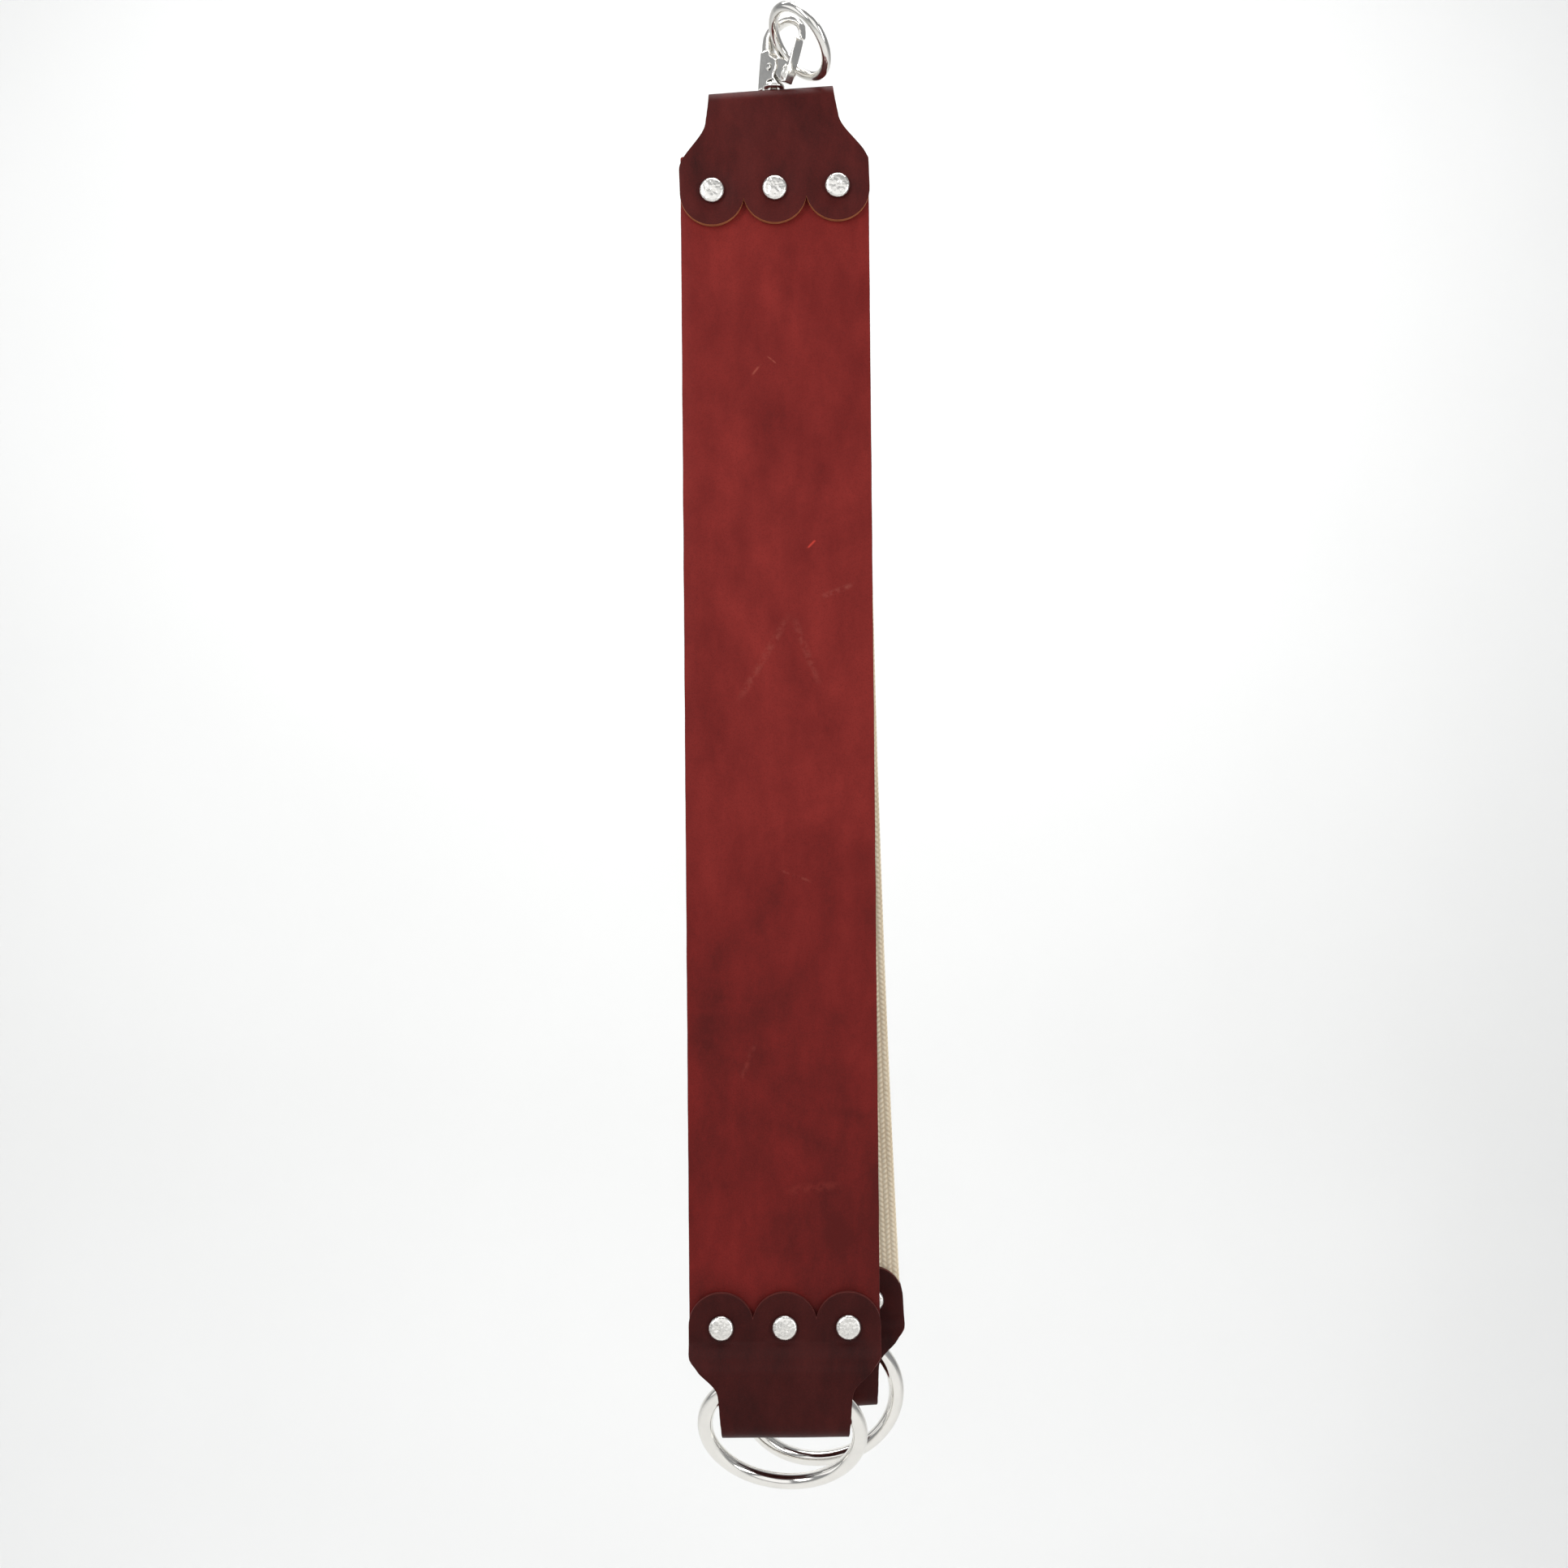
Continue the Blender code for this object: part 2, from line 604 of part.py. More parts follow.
def trigger_lever_solid(mats):
    """The gate: a tongue on the pivot inside the slot, a strip up to the hook's tip and a thumb pad."""
    pu, pw = PIVOT
    reach = NOSE_RADIUS + 1.0 * MM
    tongue = arc(PIVOT, 2.2 * MM, 80, 285, 9)
    tongue += [(pu + reach, pw - 1.8 * MM), (pu + reach, pw + 1.8 * MM)]
    pin_hole = circle(PIVOT, PIVOT_RADIUS + GAP, 12)
    bm = flat_plate(tongue, [pin_hole], 2 * TONGUE_HALF)
    lever = add_object("trigger_lever", mesh_from(bm, "trigger_lever"), mats["nickel"])

    strip = arc(PIVOT, NOSE_RADIUS + 0.35 * MM, -48, 42, 7)
    outer = [(8.6, 9.6), (9.6, 8.5), (11.3, 11.3), (13.2, 14.9), (13.5, 17.3), (14.3, 17.1), (14.2, 15.9)]
    outer += [(12.9, 12.4), (10.9, 7.6), (9.2, 3.4), (7.9, 0.9), (6.3, 1.2), (4.4, 3.2)]
    strip += [(u * MM, w * MM) for u, w in outer]
    bm = flat_plate(strip, [], 4.8 * MM)
    strip_block = add_object("lever_strip", mesh_from(bm, "lever_strip"), mats["nickel"])
    bevel = strip_block.modifiers.new("bevel", "BEVEL")
    bevel.width = 0.3 * MM
    bevel.segments = 2
    boolean(lever, strip_block, "UNION")

    pad = turned(
        "thumb_pad",
        [
            (0, -1.6 * MM),
            (3.3 * MM, -1.6 * MM),
            (3.9 * MM, -0.6 * MM),
            (3.8 * MM, 0.3 * MM),
            (2.8 * MM, 0.9 * MM),
            (0, 1.2 * MM),
        ],
        20,
        mats["nickel"],
    )
    pad.rotation_euler = (0, math.radians(113), 0)
    pad.location = (8.3 * MM, 0, 4.6 * MM)
    boolean(lever, pad, "UNION")

    spring_room = turned(
        "spring_room",
        [(0, 0.1 * MM), (2.7 * MM, 0.1 * MM), (2.7 * MM, 2.0 * MM), (0, 2.0 * MM)],
        16,
        mats["nickel"],
    )
    spring_room.rotation_euler = (math.pi / 2, 0, 0)
    spring_room.location = (pu, 0, pw)
    boolean(lever, spring_room, "DIFFERENCE")
    return lever, (strip_block, pad, spring_room)


def trigger_spring_solid(mats):
    """A torsion coil of two turns round the pivot pin, beside the lever's hub."""
    turns = 2.0
    count = 28
    pitch = 0.45 * MM
    wire = 0.15 * MM
    curve = bpy.data.curves.new("trigger_spring", "CURVE")
    curve.dimensions = "3D"
    curve.bevel_depth = wire
    curve.bevel_resolution = 1
    curve.use_fill_caps = True
    spline = curve.splines.new("POLY")
    spline.points.add(count)
    for i, point in enumerate(spline.points):
        angle = 2 * math.pi * turns * i / count
        rise = -(0.36 * MM + pitch * turns * i / count)
        point.co = (1.6 * MM * math.cos(angle), rise, 1.6 * MM * math.sin(angle), 1)
    spring = bpy.data.objects.new("trigger_spring", curve)
    curve.materials.append(mats["nickel"])
    bpy.context.scene.collection.objects.link(spring)
    return spring


def snap_hook(mats):
    """The root of the assembly: frame, pivot pin and spring, with the gate on its own pivot."""
    hook = empty("hook_axis", (0, 0, HOOK_BASE_Z))
    hook.rotation_euler = (0, 0, -HOOK_YAW)
    frame, frame_tools = hook_frame_solid(mats)
    for piece in (frame, *frame_tools):
        parented(piece, hook)

    pin = turned(
        "trigger_pivot_pin",
        [
            (0, 3.3 * MM),
            (1.1 * MM, 3.2 * MM),
            (1.5 * MM, 3.0 * MM),
            (PIVOT_RADIUS, 3.0 * MM),
            (PIVOT_RADIUS, -3.0 * MM),
            (1.5 * MM, -3.0 * MM),
            (1.1 * MM, -3.2 * MM),
            (0, -3.3 * MM),
        ],
        12,
        mats["nickel"],
    )
    pin.rotation_euler = (math.pi / 2, 0, 0)
    pin.location = (PIVOT[0], 0, PIVOT[1])
    parented(pin, hook)

    spring = parented(trigger_spring_solid(mats), hook)
    spring.location = (PIVOT[0], 0, PIVOT[1])

    gate = empty("gate_pivot", (PIVOT[0], 0, PIVOT[1]), hook)
    lever, lever_tools = trigger_lever_solid(mats)
    for piece in (lever, *lever_tools):
        piece.location = piece.location - Vector((PIVOT[0], 0, PIVOT[1]))
        parented(piece, gate)


def swivel_stud(mats):
    """The swivel: a peened head in the collar, a stem through the fold and a crossbar inside it."""
    bar_drop = HOOK_BASE_Z - SWIVEL_BAR_Z
    stem = turned(
        "swivel_stud",
        [
            (0, 3.4 * MM),
            (1.6 * MM, 3.3 * MM),
            (SWIVEL_HEAD_RADIUS, 2.8 * MM),
            (SWIVEL_HEAD_RADIUS, 2.2 * MM),
            (SWIVEL_STEM_RADIUS, 2.2 * MM),
            (SWIVEL_STEM_RADIUS, -bar_drop),
            (0, -bar_drop),
        ],
        16,
        mats["nickel"],
    )
    bar = turned(
        "swivel_crossbar",
        [
            (0, -SWIVEL_BAR_HALF),
            (0.7 * SWIVEL_BAR_RADIUS, 0.3 * MM - SWIVEL_BAR_HALF),
            (SWIVEL_BAR_RADIUS, 1.0 * MM - SWIVEL_BAR_HALF),
            (SWIVEL_BAR_RADIUS, SWIVEL_BAR_HALF - 1.0 * MM),
            (0.7 * SWIVEL_BAR_RADIUS, SWIVEL_BAR_HALF - 0.3 * MM),
            (0, SWIVEL_BAR_HALF),
        ],
        12,
        mats["nickel"],
    )
    bar.rotation_euler = (0, math.pi / 2, 0)
    bar.location = (0, 0, -bar_drop)
    axis = empty("swivel_axis", (0, 0, HOOK_BASE_Z))
    parented(stem, axis)
    parented(bar, axis)
    boolean(stem, bar, "UNION")


# Rings --------------------------------------------------------------------------------------------


def hung_ring(name, centre, tilt, roll, mat):
    """A pull ring on its swing axis. Tilt leans its bottom back, roll lifts its right side."""
    turn = Matrix.Rotation(-roll, 4, "Y") @ Matrix.Rotation(tilt, 4, "X")
    up = turn @ Vector((0, 0, 1))
    axis = empty(name + "_axis", Vector(centre) + up * PULL_RING_HANG)
    axis.rotation_euler = turn.to_euler()
    ring = torus(name, PULL_RING_RADIUS, PULL_RING_WIRE, mat)
    ring.rotation_euler = (math.pi / 2, 0, 0)
    ring.location = (0, 0, -PULL_RING_HANG)
    parented(ring, axis)


def clip_ring(mat):
    """The loose ring threaded through the hook, with its origin where it lies against the spine."""
    pivot = Vector(CLIP_RING_PIVOT)
    axis = empty("clip_ring_axis", pivot)
    ring = torus("clip_ring", CLIP_RING_RADIUS, CLIP_RING_WIRE, mat)
    ring.rotation_euler = Vector(CLIP_RING_NORMAL).to_track_quat("Z", "Y").to_euler()
    ring.location = Vector(CLIP_RING_CENTRE) - pivot
    parented(ring, axis)


def build():
    clear_scene()
    mats = {
        "leather": material("strap_leather", (0.17, 0.018, 0.016), 0.5),
        "tab": material("tab_leather", (0.07, 0.012, 0.012), 0.55),
        "canvas": material("cotton_webbing", (0.75, 0.65, 0.5), 0.9),
        "nickel": material("nickel_plate", (0.82, 0.8, 0.76), 0.15, 1.0),
    }
    snap_hook(mats)
    swivel_stud(mats)
    clip_ring(mats["nickel"])
    straps(mats)

    stem_across = -TOP_ROW_TO_FOLD * math.tan(TOP_TAB_TURN)
    slot = (stem_across, STEM_SLOT_FRONT, STEM_SLOT_BACK)
    top = empty("top_tab_axis", (0, STACK_Y, TOP_ROW_Z))
    top.rotation_euler = (0, math.pi - TOP_TAB_TURN, 0)
    tab = folded_tab(
        "top_tab",
        TOP_ROW_TO_FOLD,
        TOP_SHOULDER,
        STACK_HALF,
        TOP_POCKET_BACK,
        STACK_HALF,
        TOP_CORNER,
        slot,
        TOP_FOLD_SKEW,
        mats["tab"],
    )
    tab.location = (0, 0, -TOP_ROW_TO_FOLD)
    parented(tab, top)
    rivet_row("top", top, 0.0, STACK_HALF + TAB_THICK, mats)

    leather_half = LEATHER_THICK / 2 + GAP
    canvas_half = CANVAS_THICK / 2 + GAP
    canvas_x, canvas_y = canvas_shift(CANVAS_ROW_Z)
    for kind, place, lean, turn, half in (
        ("leather", (0, LEATHER_Y, LEATHER_ROW_Z), 0.0, 0.0, leather_half),
        ("canvas", (canvas_x, canvas_y, CANVAS_ROW_Z), CANVAS_LEAN_ANGLE, CANVAS_TURN, canvas_half),
    ):
        row = empty(f"{kind}_row_axis", place)
        row.rotation_euler = (Matrix.Rotation(lean, 4, "X") @ Matrix.Rotation(-turn, 4, "Y")).to_euler()
        tab = folded_tab(
            f"{kind}_grip_tab",
            GRIP_ROW_TO_FOLD,
            GRIP_SHOULDER,
            GRIP_POCKET_FRONT,
            GRIP_POCKET_BACK,
            half,
            GRIP_CORNER,
            None,
            0.0,
            mats["tab"],
        )
        tab.location = (0, 0, -GRIP_ROW_TO_FOLD)
        parented(tab, row)
        rivet_row(kind, row, 0.0, half + TAB_THICK, mats)

    hung_ring(
        "leather_pull_ring",
        (-1.4 * MM, LEATHER_Y + 12.54 * MM, LEATHER_ROW_Z - 46.25 * MM),
        math.radians(31.9),
        math.radians(-10.4),
        mats["nickel"],
    )
    hung_ring(
        "canvas_pull_ring",
        (15.07 * MM, LEATHER_Y + 34.54 * MM, LEATHER_ROW_Z - 39.33 * MM),
        math.radians(18.1),
        math.radians(9.9),
        mats["nickel"],
    )


build()
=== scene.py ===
"""Looks of the two-strap hanging strop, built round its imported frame. Metres, +Z up, front toward -Y."""

import json
import math
import random

import bmesh
import bpy
import numpy as np
from mathutils import Matrix, Vector, noise


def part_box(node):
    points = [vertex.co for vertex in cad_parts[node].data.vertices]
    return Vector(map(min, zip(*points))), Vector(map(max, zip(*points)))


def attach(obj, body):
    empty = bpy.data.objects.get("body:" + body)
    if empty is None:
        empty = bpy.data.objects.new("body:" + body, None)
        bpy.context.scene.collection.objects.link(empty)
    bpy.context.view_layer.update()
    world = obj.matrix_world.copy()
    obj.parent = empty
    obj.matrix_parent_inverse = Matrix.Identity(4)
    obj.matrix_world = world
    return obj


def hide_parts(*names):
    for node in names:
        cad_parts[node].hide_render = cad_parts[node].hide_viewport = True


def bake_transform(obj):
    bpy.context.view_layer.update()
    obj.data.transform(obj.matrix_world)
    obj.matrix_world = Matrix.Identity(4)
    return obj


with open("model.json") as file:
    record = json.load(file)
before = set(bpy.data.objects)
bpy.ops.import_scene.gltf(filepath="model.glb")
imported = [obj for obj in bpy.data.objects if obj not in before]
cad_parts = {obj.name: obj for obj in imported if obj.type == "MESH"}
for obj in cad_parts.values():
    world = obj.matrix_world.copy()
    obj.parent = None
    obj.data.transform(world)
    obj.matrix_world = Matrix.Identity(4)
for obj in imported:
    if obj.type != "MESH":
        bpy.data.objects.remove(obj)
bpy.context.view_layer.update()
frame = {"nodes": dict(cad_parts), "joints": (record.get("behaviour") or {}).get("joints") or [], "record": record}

MM = 0.001

# Sizes that the looks share with the solids
LEATHER_THICK = 3.0 * MM
CANVAS_THICK = 2.2 * MM
CANVAS_HALF_WIDTH = 37.5 * MM
TAB_THICK = 2.4 * MM
NECK_HALF_WIDTH = 25.5 * MM
NECK_TRIM = 0.5 * MM  # a tab's neck is this much narrower at the fold itself
NECK_FLARE = 1.4 * MM  # and this much wider where it runs into the shoulder
TOP_ROW_TO_FOLD = 41.4 * MM
TOP_SHOULDER = (29.0 * MM, 9.0 * MM)  # where the widening starts and ends, below the rivet row
TOP_POCKET_BACK = 4.6 * MM  # inside depth of the top fold behind the middle of the stack
TOP_CORNER = 1.8 * MM
TOP_FOLD_SKEW = math.radians(1.68)
STEM_SLOT = (-1.29 * MM, 2.3 * MM, 0.8 * MM, 7.0 * MM)  # middle, half width, reach forward, reach back
GRIP_ROW_TO_FOLD = 43.6 * MM
GRIP_SHOULDER = (27.0 * MM, 12.0 * MM)
GRIP_POCKET = (7.8 * MM, 9.6 * MM)  # inside depths in front of the strap and behind it
GRIP_CORNER = 4.8 * MM
POCKET_TOP = 16.5 * MM  # a pocket starts to close this far below the rivet row
POCKET_CLOSED = 5.5 * MM  # and its leaves meet the strap this far below it
LOBE_TIP = 13.9 * MM  # end of a lobe past the rivet row
LOBE_RADIUS = 13.0 * MM
RIVET_PITCH = 25.4 * MM
RIVET_OFFSETS = (-RIVET_PITCH, 0.0, RIVET_PITCH)
RIVET_HOLE_RADIUS = 2.5 * MM
RIVET_HEAD_RADIUS = 5.0 * MM
RIVET_HEAD_HEIGHT = 1.5 * MM
RIVET_SHANK_RADIUS = 2.0 * MM
RIVET_BORE_RADIUS = 1.3 * MM
RIVET_BORE_END = 3.0 * MM  # from the cap's seat to the blind end of the bore
RIVET_CAP_RADIUS = 4.6 * MM
RIVET_NIPPLE = (0.9 * MM, 2.2 * MM)  # radius and length
HEAD_BEHIND = 0.9 * MM  # from the middle of a rivet's head and shank back to the middle of its stack
GAP = 0.3 * MM
STACK_HALF = (LEATHER_THICK + CANVAS_THICK + 3 * GAP) / 2
PULL_RING_WIRE = 3.175 * MM
PULL_RING_RADIUS = 31.75 * MM
CLIP_RING_WIRE = 2.0 * MM
CLIP_RING_RADIUS = 14.7 * MM

# Sizes that only the looks have
TAB_RIM = 0.42 * MM  # rounding of the cut edges
STRAP_RIM = 0.45 * MM
WEAVE = 2.1 * MM  # one stitch of the cotton webbing
WEAVE_RELIEF = 0.42 * MM
SELVEDGE = 1.2 * MM  # width of the webbing's rounded edge
CUT_WANDER = 0.12 * MM  # how far a knife-cut strap edge runs off a straight line
STRAP_WAVE = 0.35 * MM  # gentle waves along the leather strap's free length
TOP_RAGGED = 0.10 * MM  # unevenness of a tab's cut neck
GRIP_RAGGED = 0.22 * MM

# Colours, linear
CHOCOLATE = ((0.026, 0.0040, 0.0034), (0.064, 0.0080, 0.0068), (0.102, 0.0140, 0.0115))
DARK_CHOCOLATE = ((0.017, 0.0028, 0.0024), (0.038, 0.0050, 0.0042), (0.064, 0.0090, 0.0074))
OXBLOOD = ((0.074, 0.0065, 0.0055), (0.132, 0.0100, 0.0084), (0.200, 0.0180, 0.0145))
TAN_EDGE = ((0.20, 0.060, 0.022), (0.36, 0.120, 0.045), (0.46, 0.180, 0.080))
DARK_EDGE = ((0.030, 0.0050, 0.0040), (0.090, 0.0130, 0.0100), (0.170, 0.0280, 0.0200))
FLESH_SIDE = ((0.055, 0.016, 0.010), (0.105, 0.032, 0.022), (0.160, 0.060, 0.040))
# Cotton's colours; the darkest stop is painted shade in the hollows between the stitches
COTTON_AND_WEAVE_SHADE = ((0.56, 0.43, 0.28), (0.80, 0.68, 0.50), (0.90, 0.81, 0.65))
NICKEL = (0.83, 0.81, 0.77)


# What the frame says -----------------------------------------------------------------------------


def middle(node):
    """The middle of a CAD node's box."""
    low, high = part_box(node)
    return (low + high) / 2


def joint_place(name):
    return Vector(next(j["pos_m"] for j in frame["joints"] if j["name"] == name))


def mount_axis(name):
    return Vector(next(m["axis"] for m in frame["record"]["mounts"] if m["name"] == name))


def row_frame(prefix, back):
    """A rivet row's frame: x along it, y back through the rivets, origin midway in the clamped stack."""
    heads = [middle(f"{prefix}_rivet_{n}") for n in (1, 2, 3)]
    across = (heads[2] - heads[0]).normalized()
    up = across.cross(back).normalized()
    turn = Matrix((across, back, up)).transposed().to_4x4()
    return Matrix.Translation(heads[1] + back * HEAD_BEHIND) @ turn


BACK = Vector((0, 1, 0))
TOP_ROW = row_frame("top", BACK)
LEATHER_ROW = row_frame("leather", BACK)
CANVAS_ROW = row_frame("canvas", mount_axis("canvas_face"))
FLEX = joint_place("leather_strap_swing")
CANVAS_FLEX = joint_place("canvas_strap_swing")
STRAP_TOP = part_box("leather_strap_end")[1].z

CAMERA_PLACE = Vector((1.63 * MM, FLEX.y - 700 * MM, LEATHER_ROW.translation.z + 204.2 * MM))
CAMERA_PITCH = math.radians(1.06)  # upward
CAMERA_ROLL = math.radians(0.51)
CAMERA_LENS = 39.8  # mm, on a sensor 36 mm wide
HEART = Vector((0, 0, -0.3))  # the middle of the strop, which the lights face
FLOOR_Z = -1.15
WALL_Y = 1.4


# Shaders -----------------------------------------------------------------------------------------


class Nodes:
    """A material and a short way to write its nodes."""

    def __init__(self, name, **values):
        self.material = bpy.data.materials.new(name)
        self.material.use_nodes = True
        self.tree = self.material.node_tree
        self.shader = self.tree.nodes["Principled BSDF"]
        for key, value in values.items():
            self.put(self.shader.inputs[key.replace("_", " ")], value)

    def put(self, socket, value):
        """Links a node's output to the socket, or sets the socket's own value."""
        if isinstance(value, bpy.types.NodeSocket):
            self.tree.links.new(value, socket)
        else:
            socket.default_value = value

    def add(self, kind, settings=None, **sockets):
        node = self.tree.nodes.new("ShaderNode" + kind)
        for key, value in (settings or {}).items():
            setattr(node, key, value)
        for key, value in sockets.items():
            self.put(node.inputs[key.replace("_", " ")], value)
        return node

    def math(self, operation, *values):
        node = self.add("Math", {"operation": operation})
        for socket, value in zip(node.inputs, values):
            self.put(socket, value)
        return node.outputs[0]

    def flat_place(self):
        """Where each point lay before the piece was folded or hung."""
        return self.add("Attribute", {"attribute_name": "flat_place"}).outputs["Vector"]

    def scaled(self, vector, scale):
        node = self.add("VectorMath", {"operation": "MULTIPLY"})
        self.put(node.inputs[0], vector)
        self.put(node.inputs[1], scale)
        return node.outputs[0]

    def noise(self, vector, scale, detail=2.0, roughness=0.5, distortion=0.0):
        node = self.add(
            "TexNoise", Vector=vector, Scale=scale, Detail=detail, Roughness=roughness, Distortion=distortion
        )
        return node.outputs["Fac"]

    def cells(self, vector, scale):
        return self.add("TexVoronoi", {"feature": "F1"}, Vector=vector, Scale=scale).outputs["Distance"]

    def ramp(self, factor, stops):
        node = self.add("ValToRGB", Fac=factor)
        elements = node.color_ramp.elements
        while len(elements) < len(stops):
            elements.new(0.5)
        for element, (place, colour) in zip(elements, stops):
            element.position = place
            element.color = (*colour, 1.0)
        return node.outputs["Color"]

    def span(self, value, low, high, to_low=0.0, to_high=1.0):
        """A smooth step from to_low to to_high as the value goes from low to high."""
        node = self.add("MapRange", {"interpolation_type": "SMOOTHSTEP"})
        for socket, number in zip(node.inputs, (value, low, high, to_low, to_high)):
            self.put(socket, number)
        return node.outputs[0]

    def mix(self, factor, first, second):
        node = self.add("Mix", {"data_type": "RGBA", "blend_type": "MIX"})
        # A Mix node's colour sockets share their names with other types, so they go by number.
        for index, value in ((0, factor), (6, first), (7, second)):
            if isinstance(value, tuple):
                value = (*value, 1.0)
            self.put(node.inputs[index], value)
        return node.outputs[2]

    def bump(self, height, distance, strength=1.0, normal=None):
        node = self.add("Bump", Height=height, Distance=distance, Strength=strength)
        if normal is not None:
            self.put(node.inputs["Normal"], normal)
        return node.outputs["Normal"]

    def mark(self, place, centre, angle, length, width):
        """1 inside a soft stroke on the flat leather, 0 outside it."""
        split = self.add("SeparateXYZ", Vector=place)
        dx = self.math("SUBTRACT", split.outputs["X"], centre[0])
        dz = self.math("SUBTRACT", split.outputs["Z"], centre[1])
        cosine, sine = math.cos(angle), math.sin(angle)
        along = self.math("ADD", self.math("MULTIPLY", dx, cosine), self.math("MULTIPLY", dz, sine))
        across = self.math("SUBTRACT", self.math("MULTIPLY", dz, cosine), self.math("MULTIPLY", dx, sine))
        far_along = self.span(self.math("ABSOLUTE", along), 0.25 * length, 0.5 * length, 1.0, 0.0)
        far_across = self.span(self.math("ABSOLUTE", across), 0.0, width, 1.0, 0.0)
        return self.math("MULTIPLY", far_along, far_across)


def leather(name, tones, roughness=0.5, mottle=1.0, pores=1.0, marks=(), paler_up=None):
    """Oiled leather: cloudy dye, fine pores, a pull-up sheen and, if given, soft paler strokes."""
    n = Nodes(name, Coat_Weight=0.02, Coat_Roughness=0.4, Specular_IOR_Level=0.09)
    place = n.flat_place()
    cloud = n.noise(place, 17.0, detail=4.0, roughness=0.6, distortion=0.6)
    patch = n.noise(n.scaled(place, (1.0, 1.0, 0.45)), 85.0, detail=4.0, roughness=0.65)
    speck = n.noise(place, 1500.0, detail=2.0)
    tone = n.math("ADD", n.math("MULTIPLY", cloud, 0.55), n.math("MULTIPLY", patch, 0.45))
    tone = n.math("ADD", n.math("MULTIPLY", n.math("SUBTRACT", tone, 0.5), mottle * 1.7), 0.5)
    if paler_up is not None:
        low, high, amount = paler_up
        height = n.add("SeparateXYZ", Vector=place).outputs["Z"]
        tone = n.math("ADD", tone, n.span(height, low, high, -amount, amount))
    tone = n.math("ADD", tone, n.math("MULTIPLY", n.math("SUBTRACT", speck, 0.5), 0.22))
    colour = n.ramp(tone, [(0.22, tones[0]), (0.5, tones[1]), (0.86, tones[2])])
    for centre, angle, length, width, strength, tint in marks:
        stroke = n.mark(place, centre, angle, length, width)
        broken = n.span(n.noise(place, 420.0, detail=3.0), 0.35, 0.6)
        factor = n.math("MULTIPLY", n.math("MULTIPLY", stroke, broken), strength)
        colour = n.mix(factor, colour, tint)
    pore = n.cells(place, 1250.0)
    pit = n.span(pore, 0.05, 0.5)
    colour = n.mix(n.math("MULTIPLY", n.math("SUBTRACT", 1.0, pit), 0.28 * pores), colour, tones[0])
    n.put(n.shader.inputs["Base Color"], colour)
    sheen = n.noise(place, 60.0, detail=3.0)
    n.put(n.shader.inputs["Roughness"], n.span(sheen, 0.25, 0.75, roughness - 0.07, roughness + 0.08))
    crease = n.noise(place, 260.0, detail=4.0, roughness=0.62)
    normal = n.bump(crease, 0.11 * MM, 0.5)
    normal = n.bump(pit, 0.05 * MM, 0.55 * pores, normal)
    normal = n.bump(n.noise(place, 3200.0), 0.02 * MM, 0.5, normal)
    n.put(n.shader.inputs["Normal"], normal)
    return n.material


def cut_edge(name, tones):
    """The fibrous cut edge of thick leather."""
    n = Nodes(name, Specular_IOR_Level=0.3)
    place = n.flat_place()
    layers = n.noise(n.scaled(place, (0.6, 7.0, 0.6)), 700.0, detail=3.0, roughness=0.6)
    colour = n.ramp(layers, [(0.3, tones[0]), (0.5, tones[1]), (0.75, tones[2])])
    n.put(n.shader.inputs["Base Color"], colour)
    n.put(n.shader.inputs["Roughness"], n.span(layers, 0.2, 0.8, 0.62, 0.85))
    n.put(n.shader.inputs["Normal"], n.bump(layers, 0.12 * MM, 0.8))
    return n.material


def webbing(name):
    """Undyed cotton webbing: yarns twisted across each stitch, with shade painted into the colour between the
    stitches.
    """
    n = Nodes(name, Sheen_Weight=0.25, Sheen_Roughness=0.5, Specular_IOR_Level=0.2)
    place = n.flat_place()
    split = n.add("SeparateXYZ", Vector=place)
    column = n.math("DIVIDE", split.outputs["X"], WEAVE)
    row = n.math("DIVIDE", split.outputs["Z"], WEAVE)
    number = n.math("FLOOR", n.math("ADD", column, 0.5))
    parity = n.math("PINGPONG", number, 1.0)
    from_middle = n.math("SUBTRACT", column, number)
    side = n.math("SUBTRACT", n.math("MULTIPLY", parity, 2.0), 1.0)
    slant = n.math("MULTIPLY", n.math("MULTIPLY", from_middle, side), 0.5)
    phase = n.math("ADD", n.math("ADD", row, n.math("MULTIPLY", parity, 0.5)), slant)
    wave = n.math("COSINE", n.math("MULTIPLY", phase, 2 * math.pi))
    ridge = n.math("COSINE", n.math("MULTIPLY", from_middle, math.pi))
    stitch = n.math("MULTIPLY", ridge, n.math("ADD", n.math("MULTIPLY", wave, 0.5), 0.5))
    twist = n.math("ADD", n.math("MULTIPLY", phase, 3.0), column)
    yarn = n.math("SINE", n.math("MULTIPLY", twist, 4 * math.pi))
    fibre = n.noise(n.scaled(place, (1.0, 1.0, 1.6)), 2600.0, detail=3.0)
    height = n.math("ADD", stitch, n.math("MULTIPLY", yarn, 0.10))
    height = n.math("ADD", height, n.math("MULTIPLY", fibre, 0.35))
    cloud = n.noise(place, 40.0, detail=3.0)
    # Painted shade: the stitches' relief darkens the colour down in the hollows between them, over random clouds
    # of tone.
    tone = n.math("ADD", n.math("MULTIPLY", height, 0.45), n.math("MULTIPLY", cloud, 0.35))
    colour = n.ramp(tone, [(0.12, COTTON_AND_WEAVE_SHADE[0]), (0.42, COTTON_AND_WEAVE_SHADE[1]), (0.8, COTTON_AND_WEAVE_SHADE[2])])
    fleck = n.span(n.noise(place, 900.0, detail=1.0), 0.735, 0.78)
    colour = n.mix(n.math("MULTIPLY", fleck, 0.6), colour, (0.36, 0.24, 0.13))
    n.put(n.shader.inputs["Base Color"], colour)
    n.put(n.shader.inputs["Roughness"], n.span(fibre, 0.3, 0.7, 0.82, 0.95))
    n.put(n.shader.inputs["Normal"], n.bump(height, 0.30 * MM, 0.7))
    return n.material


